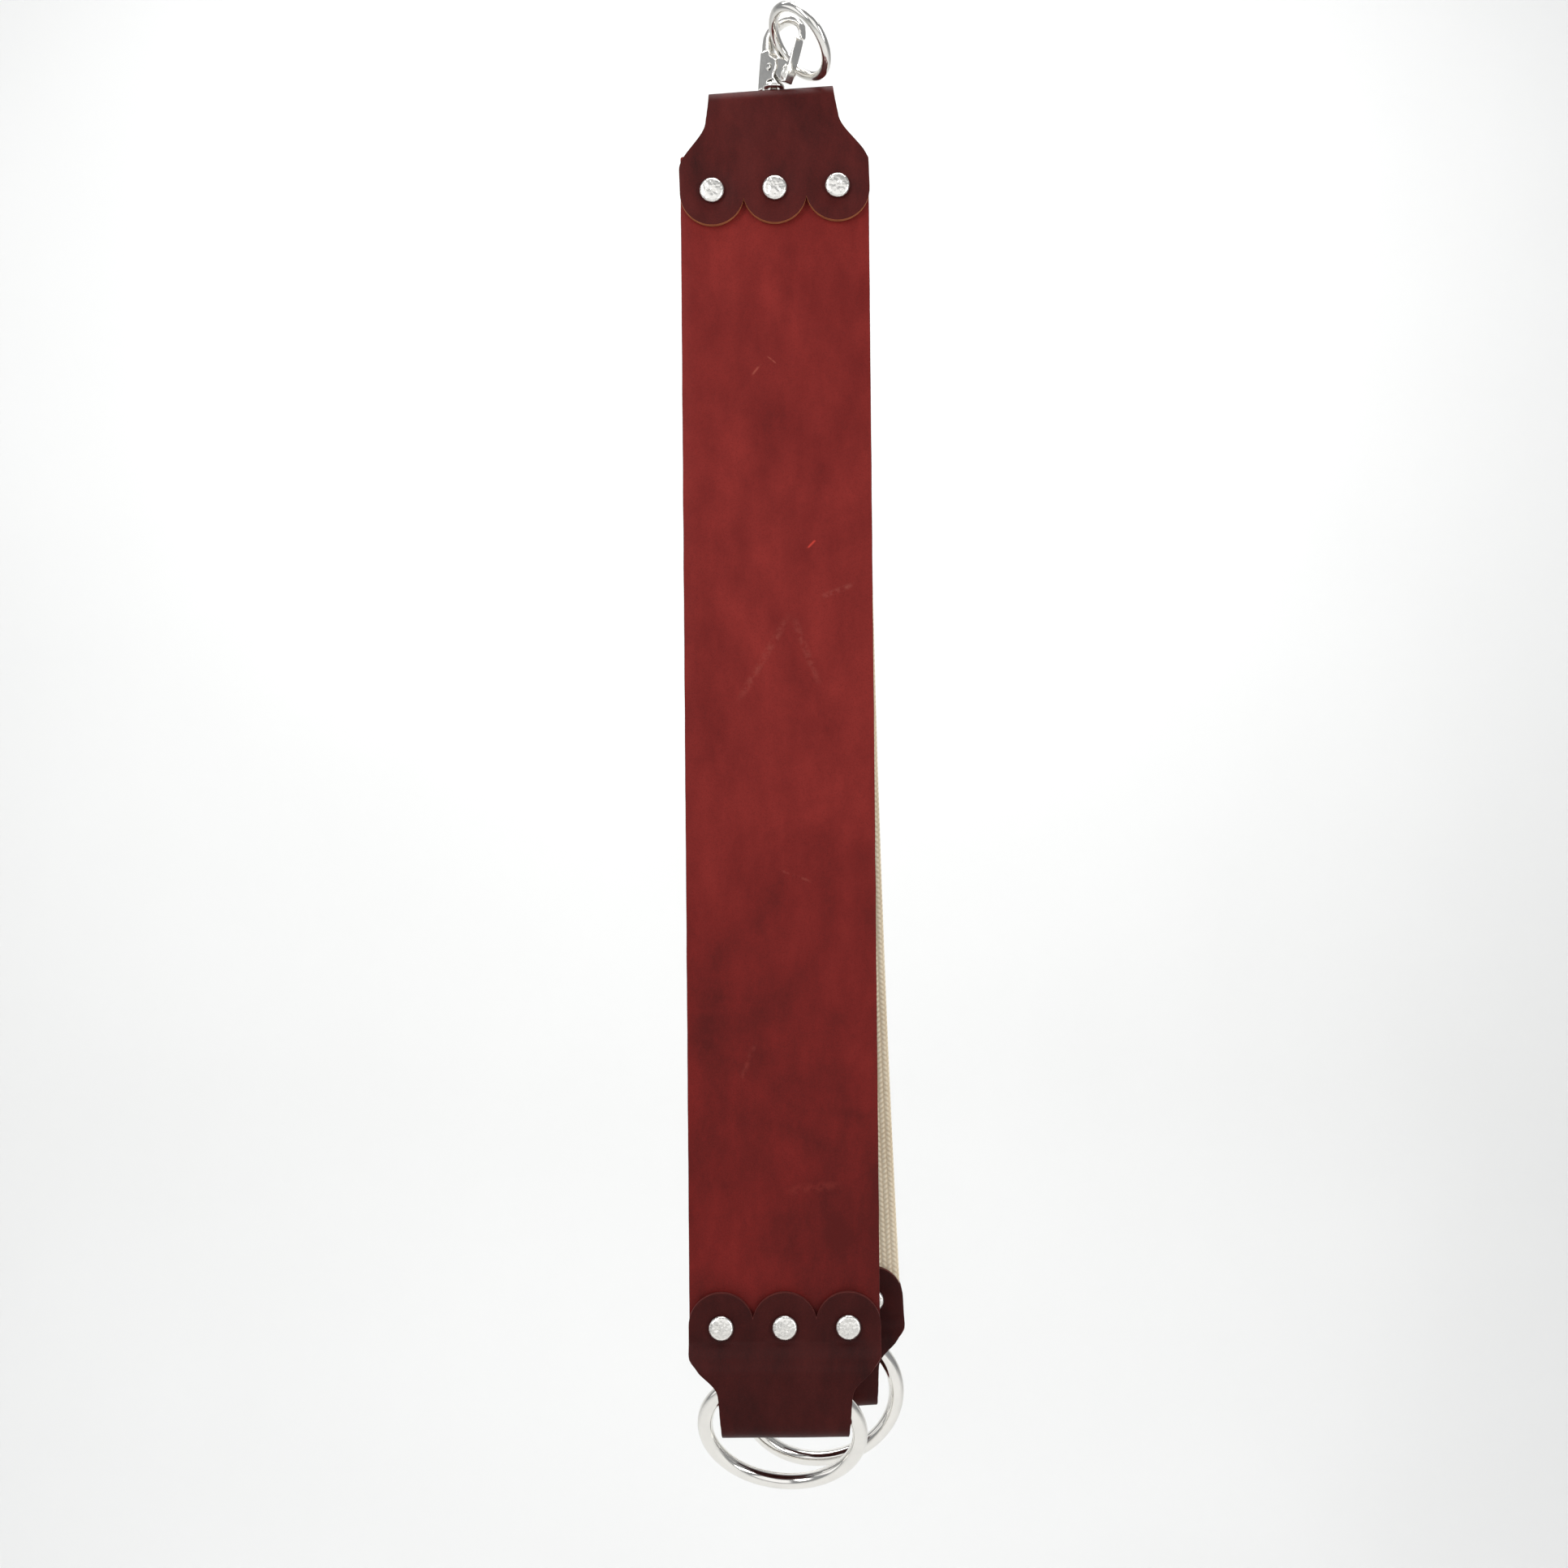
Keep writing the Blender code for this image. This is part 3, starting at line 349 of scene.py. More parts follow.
def nickel(name, roughness=0.13, wave=1.0, hammered=0.0):
    """Bright nickel plate over a cast or drawn surface, with faint waviness and fine wear."""
    n = Nodes(name, Metallic=1.0)
    place = n.add("TexCoord").outputs["Object"]
    smear = n.noise(place, 140.0, detail=4.0, roughness=0.6)
    fine = n.noise(n.scaled(place, (1.0, 1.0, 0.2)), 2600.0, detail=2.0)
    tint = n.ramp(smear, [(0.3, tuple(0.93 * c for c in NICKEL)), (0.7, NICKEL)])
    n.put(n.shader.inputs["Base Color"], tint)
    gloss = n.math("ADD", n.math("MULTIPLY", smear, 0.10), n.math("MULTIPLY", fine, 0.06))
    n.put(n.shader.inputs["Roughness"], n.math("ADD", gloss, roughness - 0.08))
    normal = n.bump(n.noise(place, 230.0, detail=1.0), 0.05 * MM * wave, 0.6)
    if hammered:
        normal = n.bump(n.cells(place, 950.0), 0.25 * MM * hammered, 0.8, normal)
    n.put(n.shader.inputs["Normal"], normal)
    return n.material


def plain(name, colour, roughness):
    """A matte surface with barely visible clouds."""
    n = Nodes(name, Roughness=roughness)
    tone = n.noise(n.add("TexCoord").outputs["Object"], 3.0)
    darker = tuple(0.98 * c for c in colour)
    n.put(n.shader.inputs["Base Color"], n.ramp(tone, [(0.3, darker), (0.7, colour)]))
    return n.material


# Mesh helpers ------------------------------------------------------------------------------------


def add_object(name, mesh, *mats):
    obj = bpy.data.objects.new(name, mesh)
    bpy.context.scene.collection.objects.link(obj)
    for mat in mats:
        mesh.materials.append(mat)
    mesh.shade_smooth()
    return obj


def finished(bm, name):
    """The bmesh as a mesh with its faces turned outward."""
    bmesh.ops.recalc_face_normals(bm, faces=bm.faces)
    if bm.calc_volume(signed=True) < 0:
        bmesh.ops.reverse_faces(bm, faces=bm.faces)
    mesh = bpy.data.meshes.new(name)
    bm.to_mesh(mesh)
    bm.free()
    return mesh


def arc(centre, radius, start, end, count):
    angles = [math.radians(start + (end - start) * i / count) for i in range(count + 1)]
    return [(centre[0] + radius * math.cos(a), centre[1] + radius * math.sin(a)) for a in angles]


def circle(centre, radius, count):
    return arc(centre, radius, 0, 360, count)[:-1]


def flat_plate(outline, holes, thickness, rim):
    """A plate in the XZ plane from an outline and holes given as (x, z), with a rounded rim."""
    curve = bpy.data.curves.new("plate_outline", "CURVE")
    curve.dimensions = "2D"
    curve.fill_mode = "BOTH"
    curve.extrude = thickness / 2
    for points in (outline, *holes):
        spline = curve.splines.new("POLY")
        spline.points.add(len(points) - 1)
        spline.use_cyclic_u = True
        for point, (x, z) in zip(spline.points, points):
            point.co = (x, z, 0, 1)
    guide = bpy.data.objects.new("plate_outline", curve)
    bm = bmesh.new()
    bm.from_mesh(guide.to_mesh())
    guide.to_mesh_clear()
    bpy.data.objects.remove(guide)
    bpy.data.curves.remove(curve)
    bmesh.ops.remove_doubles(bm, verts=bm.verts, dist=1e-6)
    bmesh.ops.dissolve_limit(bm, angle_limit=0.001, verts=bm.verts, edges=bm.edges)
    bmesh.ops.rotate(bm, cent=(0, 0, 0), matrix=Matrix.Rotation(math.pi / 2, 3, "X"), verts=bm.verts)
    bm.normal_update()
    rims = [e for e in bm.edges if len({abs(f.normal.y) > 0.9 for f in e.link_faces}) == 2]
    bmesh.ops.bevel(
        bm, geom=rims, offset=rim, segments=3, profile=0.5, affect="EDGES", clamp_overlap=True
    )
    return bm


def cut_grid(bm, xs, zs):
    """Adds edges across the mesh at each x and each z."""
    for level, normal in [(x, Vector((1, 0, 0))) for x in xs] + [(z, Vector((0, 0, 1))) for z in zs]:
        geom = bm.verts[:] + bm.edges[:] + bm.faces[:]
        bmesh.ops.bisect_plane(bm, geom=geom, dist=1e-7, plane_co=normal * level, plane_no=normal)


def steps(low, high, pitch):
    """Even levels between two ends, about a pitch apart."""
    count = max(2, round((high - low) / pitch))
    return [low + (high - low) * i / count for i in range(1, count)]


def keep_flat_places(mesh, places):
    """Stores where each point lay in the flat piece, for the materials."""
    attribute = mesh.attributes.new("flat_place", "FLOAT_VECTOR", "POINT")
    attribute.data.foreach_set("vector", np.array(places, np.float32).ravel())


def eased(t):
    """A smooth step from 0 to 1."""
    return 3 * t**2 - 2 * t**3


def clamped(value):
    """The value kept between 0 and 1."""
    return min(1.0, max(0.0, value))


def sort_faces(bm):
    """Gives a flat plate's front, rim and back the materials 0, 1 and 2."""
    bm.normal_update()
    for face in bm.faces:
        face.material_index = 0 if face.normal.y < -0.75 else 2 if face.normal.y > 0.75 else 1


def turned(profile, sides):
    """A bmesh solid of revolution about +Z from (radius, height) points, starting and ending on the axis."""
    bm = bmesh.new()
    rings = []
    for radius, height in profile:
        if radius < 1e-9:
            rings.append([bm.verts.new((0, 0, height))])
            continue
        angles = [2 * math.pi * i / sides for i in range(sides)]
        rings.append([bm.verts.new((radius * math.cos(a), radius * math.sin(a), height)) for a in angles])
    for lower, upper in zip(rings, rings[1:]):
        for i in range(sides):
            j = (i + 1) % sides
            corners = [lower[i % len(lower)], lower[j % len(lower)]]
            corners += [upper[j % len(upper)], upper[i % len(upper)]]
            # A ring of one point, on the axis, gives triangles.
            bm.faces.new(list(dict.fromkeys(corners)))
    return bm


def placed(obj, body, slot, *nodes):
    """Hangs a piece on its body and hides the CAD nodes it stands for; slot, the finish, is not used."""
    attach(obj, body)
    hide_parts(*nodes)


# Tabs --------------------------------------------------------------------------------------------


def tab_side(row, shoulder, ragged):
    """Right-hand edge of one leaf, from the fold up past the shoulder, as (x, distance from the fold)."""
    start, end = (row - drop for drop in shoulder)
    half_width = RIVET_PITCH + LOBE_RADIUS
    waist = NECK_HALF_WIDTH + NECK_FLARE
    points = []
    for i in range(13):
        t = i / 12
        out = NECK_FLARE * t**2 - NECK_TRIM * max(0.0, 1 - 2 * t)
        fray = ragged * noise.noise((t * 9.0, row * 300, 2.5))
        points.append((NECK_HALF_WIDTH + out + fray, start * t))
    for i in range(1, 17):
        t = i / 16
        points.append((waist + (half_width - waist) * eased(t), start + (end - start) * t))
    points.append((half_width, row - 5.0 * MM))
    points.append((half_width, row - 1.0 * MM))
    return points


def tab_lobes(row):
    """The three scalloped lobes of a leaf, right to left."""
    centre_up = row + LOBE_TIP - LOBE_RADIUS
    half = math.degrees(math.acos(RIVET_PITCH / 2 / LOBE_RADIUS))
    points = []
    for index, x in enumerate(reversed(RIVET_OFFSETS)):
        start = 0 if index == 0 else half
        end = 180 if index == 2 else 180 - half
        lobe = arc((x, centre_up), LOBE_RADIUS, start, end, 26)
        points += lobe if index == 2 else lobe[:-1]
    return points


def tab_outline(front_row, back_row, shoulder, ragged):
    """The flat pattern: x across, z along, with the fold on z = 0."""
    leaves = []
    for row in (front_row, back_row):
        side = tab_side(row, shoulder, ragged)
        leaves.append(side + tab_lobes(row) + [(-x, z) for x, z in reversed(side)])
    return leaves[0] + [(x, -z) for x, z in reversed(leaves[1])][1:-1]


def fold_path(row, pocket, rest, corner):
    """One side of the fold's inside line as (y, z) points, from the closed end up into the leaf."""
    points = [(0.0, 0.0)]
    points += arc((pocket - corner, corner), corner, -90, 0, 10)
    if pocket > rest:
        top, close = row - POCKET_TOP, row - POCKET_CLOSED
        points.append((pocket, top))
        for i in range(1, 13):
            t = i / 12
            points.append((pocket + (rest - pocket) * eased(t), top + (close - top) * t))
    points.append((rest, row + 2 * LOBE_TIP))
    return points


def along(path, distance):
    """The point at a distance along a polyline."""
    travelled = 0.0
    for (y0, z0), (y1, z1) in zip(path, path[1:]):
        length = math.hypot(y1 - y0, z1 - z0)
        if length < 1e-9:
            continue
        if distance <= travelled + length or (y1, z1) == path[-1]:
            share = (distance - travelled) / length
            return y0 + (y1 - y0) * share, z0 + (z1 - z0) * share
        travelled += length
    raise ValueError("empty path")


def tangent(path, distance):
    """The path's direction averaged over a short stretch, so that the sheet bends without kinks."""
    if distance < 1e-7:
        return 1.0, 0.0
    reach = 0.8 * MM
    y0, z0 = along(path, max(distance - reach, 0.0))
    y1, z1 = along(path, distance + reach)
    length = math.hypot(y1 - y0, z1 - z0)
    return (y1 - y0) / length, (z1 - z0) / length


def path_to_height(path, height):
    """The distance along the path at which it first reaches a height."""
    low, high = 0.0, 0.2
    for _ in range(50):
        halfway = (low + high) / 2
        if along(path, halfway)[1] < height:
            low = halfway
        else:
            high = halfway
    return (low + high) / 2


def leather_swell(x, z, sheet_rows):
    """How far the outer face of a tab stands from flat: soft waves, and dimples round the rivets."""
    wave, dimple = 0.16 * MM, 0.42 * MM
    dimple_edge, dimple_fade = 5.4 * MM, 2.6 * MM
    swell = wave * noise.noise((x * 45, z * 45, 3.1)) - 0.06 * MM
    row = sheet_rows[-1] if z > 0 else -sheet_rows[1]
    for rivet in RIVET_OFFSETS:
        outside = max(math.hypot(x - rivet, z - row) - dimple_edge, 0.0)
        swell -= dimple * math.exp(-((outside / dimple_fade) ** 2))
    return swell


def folded_tab(node, body, at, row, shoulder, pockets, rest, corner, slot, skew, ragged, mats):
    """A tab of one piece of leather folded round its pocket, in the frame of its rivet row.

    Row is its distance from the fold, pockets are the inside depths in front and behind, and rest is the
    leaves' own where they clamp the straps.
    """
    inside_row = row - TAB_THICK
    paths = {side: fold_path(inside_row, pocket, rest, corner) for side, pocket in zip((-1, 1), pockets)}
    sheet_rows = {side: path_to_height(path, inside_row) for side, path in paths.items()}
    holes = []
    for side, sheet_row in sheet_rows.items():
        holes += [circle((x, -side * sheet_row), RIVET_HOLE_RADIUS, 16) for x in RIVET_OFFSETS]
    if slot:
        across, half, forward, rearward = slot
        left, right = across - half, across + half
        holes.append([(left, forward), (right, forward), (right, -rearward), (left, -rearward)])
    outline = tab_outline(sheet_rows[-1], sheet_rows[1], shoulder, ragged)
    bm = flat_plate(outline, holes, TAB_THICK, TAB_RIM)
    tip = sheet_rows[-1] + LOBE_TIP
    rear_tip = -sheet_rows[1] - LOBE_TIP
    cut_grid(bm, steps(-38 * MM, 38 * MM, 1.9 * MM), steps(rear_tip, tip, 1.3 * MM))
    sort_faces(bm)
    places = [vert.co.copy() for vert in bm.verts]
    for vert in bm.verts:
        side = -1 if vert.co.z > 0 else 1
        distance = abs(vert.co.z)
        y, z = along(paths[side], distance)
        ty, tz = tangent(paths[side], distance)
        # The plate's -Y face becomes the outside of the fold.
        outward = TAB_THICK / 2 - vert.co.y
        outward += leather_swell(vert.co.x, vert.co.z, sheet_rows) * max(0.0, outward / TAB_THICK) ** 2
        vert.co.y = side * (y + tz * outward)
        vert.co.z = z - ty * outward + TAB_THICK
        vert.co.z += vert.co.x * math.tan(skew) * max(0.0, 1 - vert.co.z / row)
    name = node + "_skin"
    mesh = finished(bm, name)
    keep_flat_places(mesh, places)
    obj = add_object(name, mesh, *mats)
    obj.matrix_world = at @ Matrix.Translation((0, 0, -row))
    placed(obj, body, "tab_leather", node)


# Straps ------------------------------------------------------------------------------------------


def strap_outline(half_width, bottom, top):
    """A cut strap: straight knife-cut sides that wander by a hair, and softly rounded corners."""
    corner = 1.0 * MM
    right, left = [], []
    for z in [bottom + corner, *steps(bottom + corner, top - corner, 5 * MM), top - corner]:
        right.append((half_width + CUT_WANDER * noise.noise((z * 70, 1.0, 4.0)), z))
        left.append((-half_width + CUT_WANDER * noise.noise((z * 70, 5.0, 9.0)), z))
    inner = half_width - corner
    top_side = arc((inner, top - corner), corner, 0, 90, 4)[1:]
    top_side += arc((-inner, top - corner), corner, 90, 180, 4)[:-1]
    low_side = arc((-inner, bottom + corner), corner, 180, 270, 4)[1:]
    low_side += arc((inner, bottom + corner), corner, 270, 360, 4)[:-1]
    return right + top_side + list(reversed(left)) + low_side


def leather_strap(mats):
    """The oiled leather strap in one piece, from inside the top tab down to its grip tab."""
    low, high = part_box("leather_strap")
    holes = []
    for row in (TOP_ROW, LEATHER_ROW):
        spots = [row @ Vector((x, 0, 0)) for x in RIVET_OFFSETS]
        holes += [circle((spot.x, spot.z), RIVET_HOLE_RADIUS, 16) for spot in spots]
    outline = strap_outline(high.x, low.z, STRAP_TOP)
    bm = flat_plate(outline, holes, LEATHER_THICK, STRAP_RIM)
    cut_grid(bm, steps(low.x, high.x, 6 * MM), steps(low.z, STRAP_TOP, 2.4 * MM))
    sort_faces(bm)
    places = [vert.co.copy() for vert in bm.verts]
    # The waves fade out before the riveted ends.
    clear, fade = 30 * MM, 40 * MM
    clear_low, clear_high = LEATHER_ROW.translation.z + clear, TOP_ROW.translation.z - clear
    for vert in bm.verts:
        x, z = vert.co.x, vert.co.z
        free = clamped((z - clear_low) / fade) * clamped((clear_high - z) / fade)
        vert.co.y += FLEX.y + free * STRAP_WAVE * noise.noise((x * 14, 2.0, z * 9))
    mesh = finished(bm, "leather_strap_skin")
    keep_flat_places(mesh, places)
    obj = add_object("leather_strap_skin", mesh, *mats)
    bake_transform(obj)
    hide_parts("leather_strap", "leather_strap_end")


def canvas_middle(z):
    """(x, y) of the webbing's middle at a height: it drifts sideways and hangs back a little."""
    row = CANVAS_ROW.translation
    below_row = max(TOP_ROW.translation.z - z, 0.0) / (TOP_ROW.translation.z - row.z)
    below_flex = max(CANVAS_FLEX.z - z, 0.0) / (CANVAS_FLEX.z - row.z)
    return row.x * below_row**2, CANVAS_FLEX.y + (row.y - CANVAS_FLEX.y) * below_flex


def stitch(x, z):
    """Height of the webbing's stitches, 0 to 1: columns of slanted bumps, each column half a step on."""
    column = np.floor(x / WEAVE + 0.5)
    from_middle = x / WEAVE - column
    parity = np.mod(column, 2)
    phase = z / WEAVE + 0.5 * parity + 0.5 * from_middle * (2 * parity - 1)
    return np.cos(np.pi * from_middle) * (0.5 + 0.5 * np.cos(2 * np.pi * phase))


def canvas_strap(mat):
    """The webbing as one closed tube of stitches, front and back, with round selvedges."""
    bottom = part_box("canvas_strap")[0].z
    top = STRAP_TOP
    columns = round(2 * CANVAS_HALF_WIDTH / (WEAVE / 3))
    rows = round((top - bottom) / (WEAVE / 2))
    x = np.linspace(-CANVAS_HALF_WIDTH, CANVAS_HALF_WIDTH, columns + 1)
    z = np.linspace(top, bottom, rows + 1)
    grid_x, grid_z = np.meshgrid(x, z)
    selvedge = np.clip((np.abs(grid_x) - CANVAS_HALF_WIDTH + SELVEDGE) / SELVEDGE, 0, 1)
    rounding = 0.25 + 0.75 * np.sqrt(1 - selvedge**2)
    bulge = 0.10 * MM * np.cos(2 * np.pi * grid_z / WEAVE) * selvedge * np.sign(grid_x)
    half = CANVAS_THICK / 2 - WEAVE_RELIEF * (1 - stitch(grid_x, grid_z))
    middles = np.array([canvas_middle(level) for level in z])
    layers, flats = [], []
    for side in (-1, 1):
        world_x = grid_x + bulge + middles[:, :1]
        world_y = middles[:, 1:] + side * half * rounding
        layers.append(np.stack([world_x, world_y, grid_z], axis=-1))
        flats.append(np.stack([grid_x, np.full_like(grid_x, side * MM), grid_z], axis=-1))
    # Each row is one closed loop: the front from left to right, then the back from right to left.
    loops = np.concatenate([layers[0], layers[1][:, ::-1]], axis=1)
    flat_loops = np.concatenate([flats[0], flats[1][:, ::-1]], axis=1)
    around = loops.shape[1]
    faces = []
    for r in range(rows):
        for c in range(around):
            d = (c + 1) % around
            faces.append((r * around + c, (r + 1) * around + c, (r + 1) * around + d, r * around + d))
    for r, order in ((0, 1), (rows, -1)):
        for c in range(columns):
            corners = (c, c + 1, around - 2 - c, around - 1 - c)
            faces.append(tuple(r * around + k for k in corners[::order]))
    draft = bpy.data.meshes.new("canvas_strap_draft")
    draft.from_pydata(loops.reshape(-1, 3).tolist(), [], faces)
    bm = bmesh.new()
    bm.from_mesh(draft)
    bpy.data.meshes.remove(draft)
    mesh = finished(bm, "canvas_strap_weave")
    keep_flat_places(mesh, flat_loops.reshape(-1, 3))
    obj = add_object("canvas_strap_weave", mesh, mat)
    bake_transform(obj)
    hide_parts("canvas_strap", "canvas_strap_end")


# Metal -------------------------------------------------------------------------------------------


def hammered_rivet(prefix, number, body, at, stack_half, mat):
    """A rivet's head with its shank, struck with small dents, and the cap that closes it at the back."""
    seat = stack_half + GAP
    bore_end = RIVET_BORE_END - seat
    dome = [(0.0, 1.0), (0.1, 1.0), (0.2, 0.995), (0.3, 0.99), (0.4, 0.98), (0.5, 0.96), (0.6, 0.93)]
    dome += [(0.7, 0.89), (0.78, 0.84), (0.85, 0.76), (0.91, 0.64), (0.96, 0.47), (0.99, 0.28), (1.0, 0.12)]
    profile = [(share * RIVET_HEAD_RADIUS, seat + rise * RIVET_HEAD_HEIGHT) for share, rise in dome]
    profile += [(RIVET_HEAD_RADIUS - 0.25 * MM, seat), (RIVET_SHANK_RADIUS, seat)]
    profile += [(RIVET_SHANK_RADIUS, GAP - seat), (RIVET_BORE_RADIUS, GAP - seat)]
    profile += [(RIVET_BORE_RADIUS, bore_end), (0, bore_end)]
    bm = turned(profile, 64)
    draw = random.Random(17 * number + len(prefix))
    dent_depth = 0.13 * MM
    dents = []
    for _ in range(26):
        reach = RIVET_HEAD_RADIUS * 0.74 * math.sqrt(draw.random())
        angle = draw.uniform(0, 2 * math.pi)
        dents.append((reach * math.cos(angle), reach * math.sin(angle), draw.uniform(0.35, 0.75) * MM))
    for vert in bm.verts:
        if vert.co.z < seat + 0.6 * RIVET_HEAD_HEIGHT:
            continue
        for x, y, size in dents:
            near = ((vert.co.x - x) ** 2 + (vert.co.y - y) ** 2) / size**2
            vert.co.z -= dent_depth * math.exp(-near)
    head = add_object(f"{prefix}_rivet_head_{number}", finished(bm, "rivet_head"), mat)

    cap_dome = [(0.0, 0.80), (0.3, 0.78), (0.6, 0.70), (0.82, 0.55), (0.95, 0.32), (1.0, 0.1)]
    nipple, length = RIVET_NIPPLE
    cap = [(0, length - seat), (nipple, length - seat), (nipple, -seat)]
    cap += [(RIVET_CAP_RADIUS - 0.2 * MM, -seat)]
    for share, rise in reversed(cap_dome):
        cap.append((share * RIVET_CAP_RADIUS, -seat - rise * RIVET_HEAD_HEIGHT))
    back = add_object(f"{prefix}_rivet_back_{number}", finished(turned(cap, 48), "rivet_back"), mat)

    lying = Matrix.Rotation(math.pi / 2, 4, "X")
    for piece, node in ((head, f"{prefix}_rivet_{number}"), (back, f"{prefix}_rivet_cap_{number}")):
        piece.matrix_world = at @ Matrix.Translation((RIVET_OFFSETS[number - 1], 0, 0)) @ lying
        placed(piece, body, "nickel", node)


def wire_ring(node, body, radius, wire, mat):
    """A round ring of wire where the solid lies, with the faint seam of its welded joint at the top."""
    points = np.array([vert.co[:] for vert in frame["nodes"][node].data.vertices])
    centre = points.mean(axis=0)
    axes = np.linalg.svd(points - centre, full_matrices=False)[2]
    normal = Vector(axes[2])
    top = Vector((0, 0, 1)) - normal * normal.z
    top.normalize()
    side = top.cross(normal)
    around, section = 160, 28
    seam_height, seam_width = 0.05 * MM, 0.03
    bm = bmesh.new()
    loops = []
    for i in range(around):
        a = 2 * math.pi * i / around
        from_top = a if a < math.pi else a - 2 * math.pi
        seam = seam_height * math.exp(-((from_top / seam_width) ** 2))
        out = top * math.cos(a) + side * math.sin(a)
        loop = []
        for j in range(section):
            b = 2 * math.pi * j / section
            place = out * (radius + (wire + seam) * math.cos(b)) + normal * (wire + seam) * math.sin(b)
            loop.append(bm.verts.new(Vector(centre) + place))
        loops.append(loop)
    for here, there in zip(loops, loops[1:] + loops[:1]):
        for j in range(section):
            k = (j + 1) % section
            bm.faces.new((here[j], there[j], there[k], here[k]))
    name = node + "_wire"
    placed(add_object(name, finished(bm, name), mat), body, "nickel", node)


def cast_metal(node, body, voxel, rounds, mat):
    """The solid's own shape with edges softened as on a cast and polished piece."""
    obj = add_object(node + "_cast", frame["nodes"][node].data.copy())
    remesh = obj.modifiers.new("remesh", "REMESH")
    remesh.mode = "VOXEL"
    remesh.voxel_size = voxel
    smooth = obj.modifiers.new("smooth", "SMOOTH")
    smooth.factor = 0.5
    smooth.iterations = rounds
    evaluated = obj.evaluated_get(bpy.context.evaluated_depsgraph_get())
    mesh = bpy.data.meshes.new_from_object(evaluated)
    obj.modifiers.clear()
    obj.data = mesh
    mesh.materials.clear()
    mesh.materials.append(mat)
    mesh.shade_smooth()
    placed(obj, body, "nickel", node)


# The whole ---------------------------------------------------------------------------------------


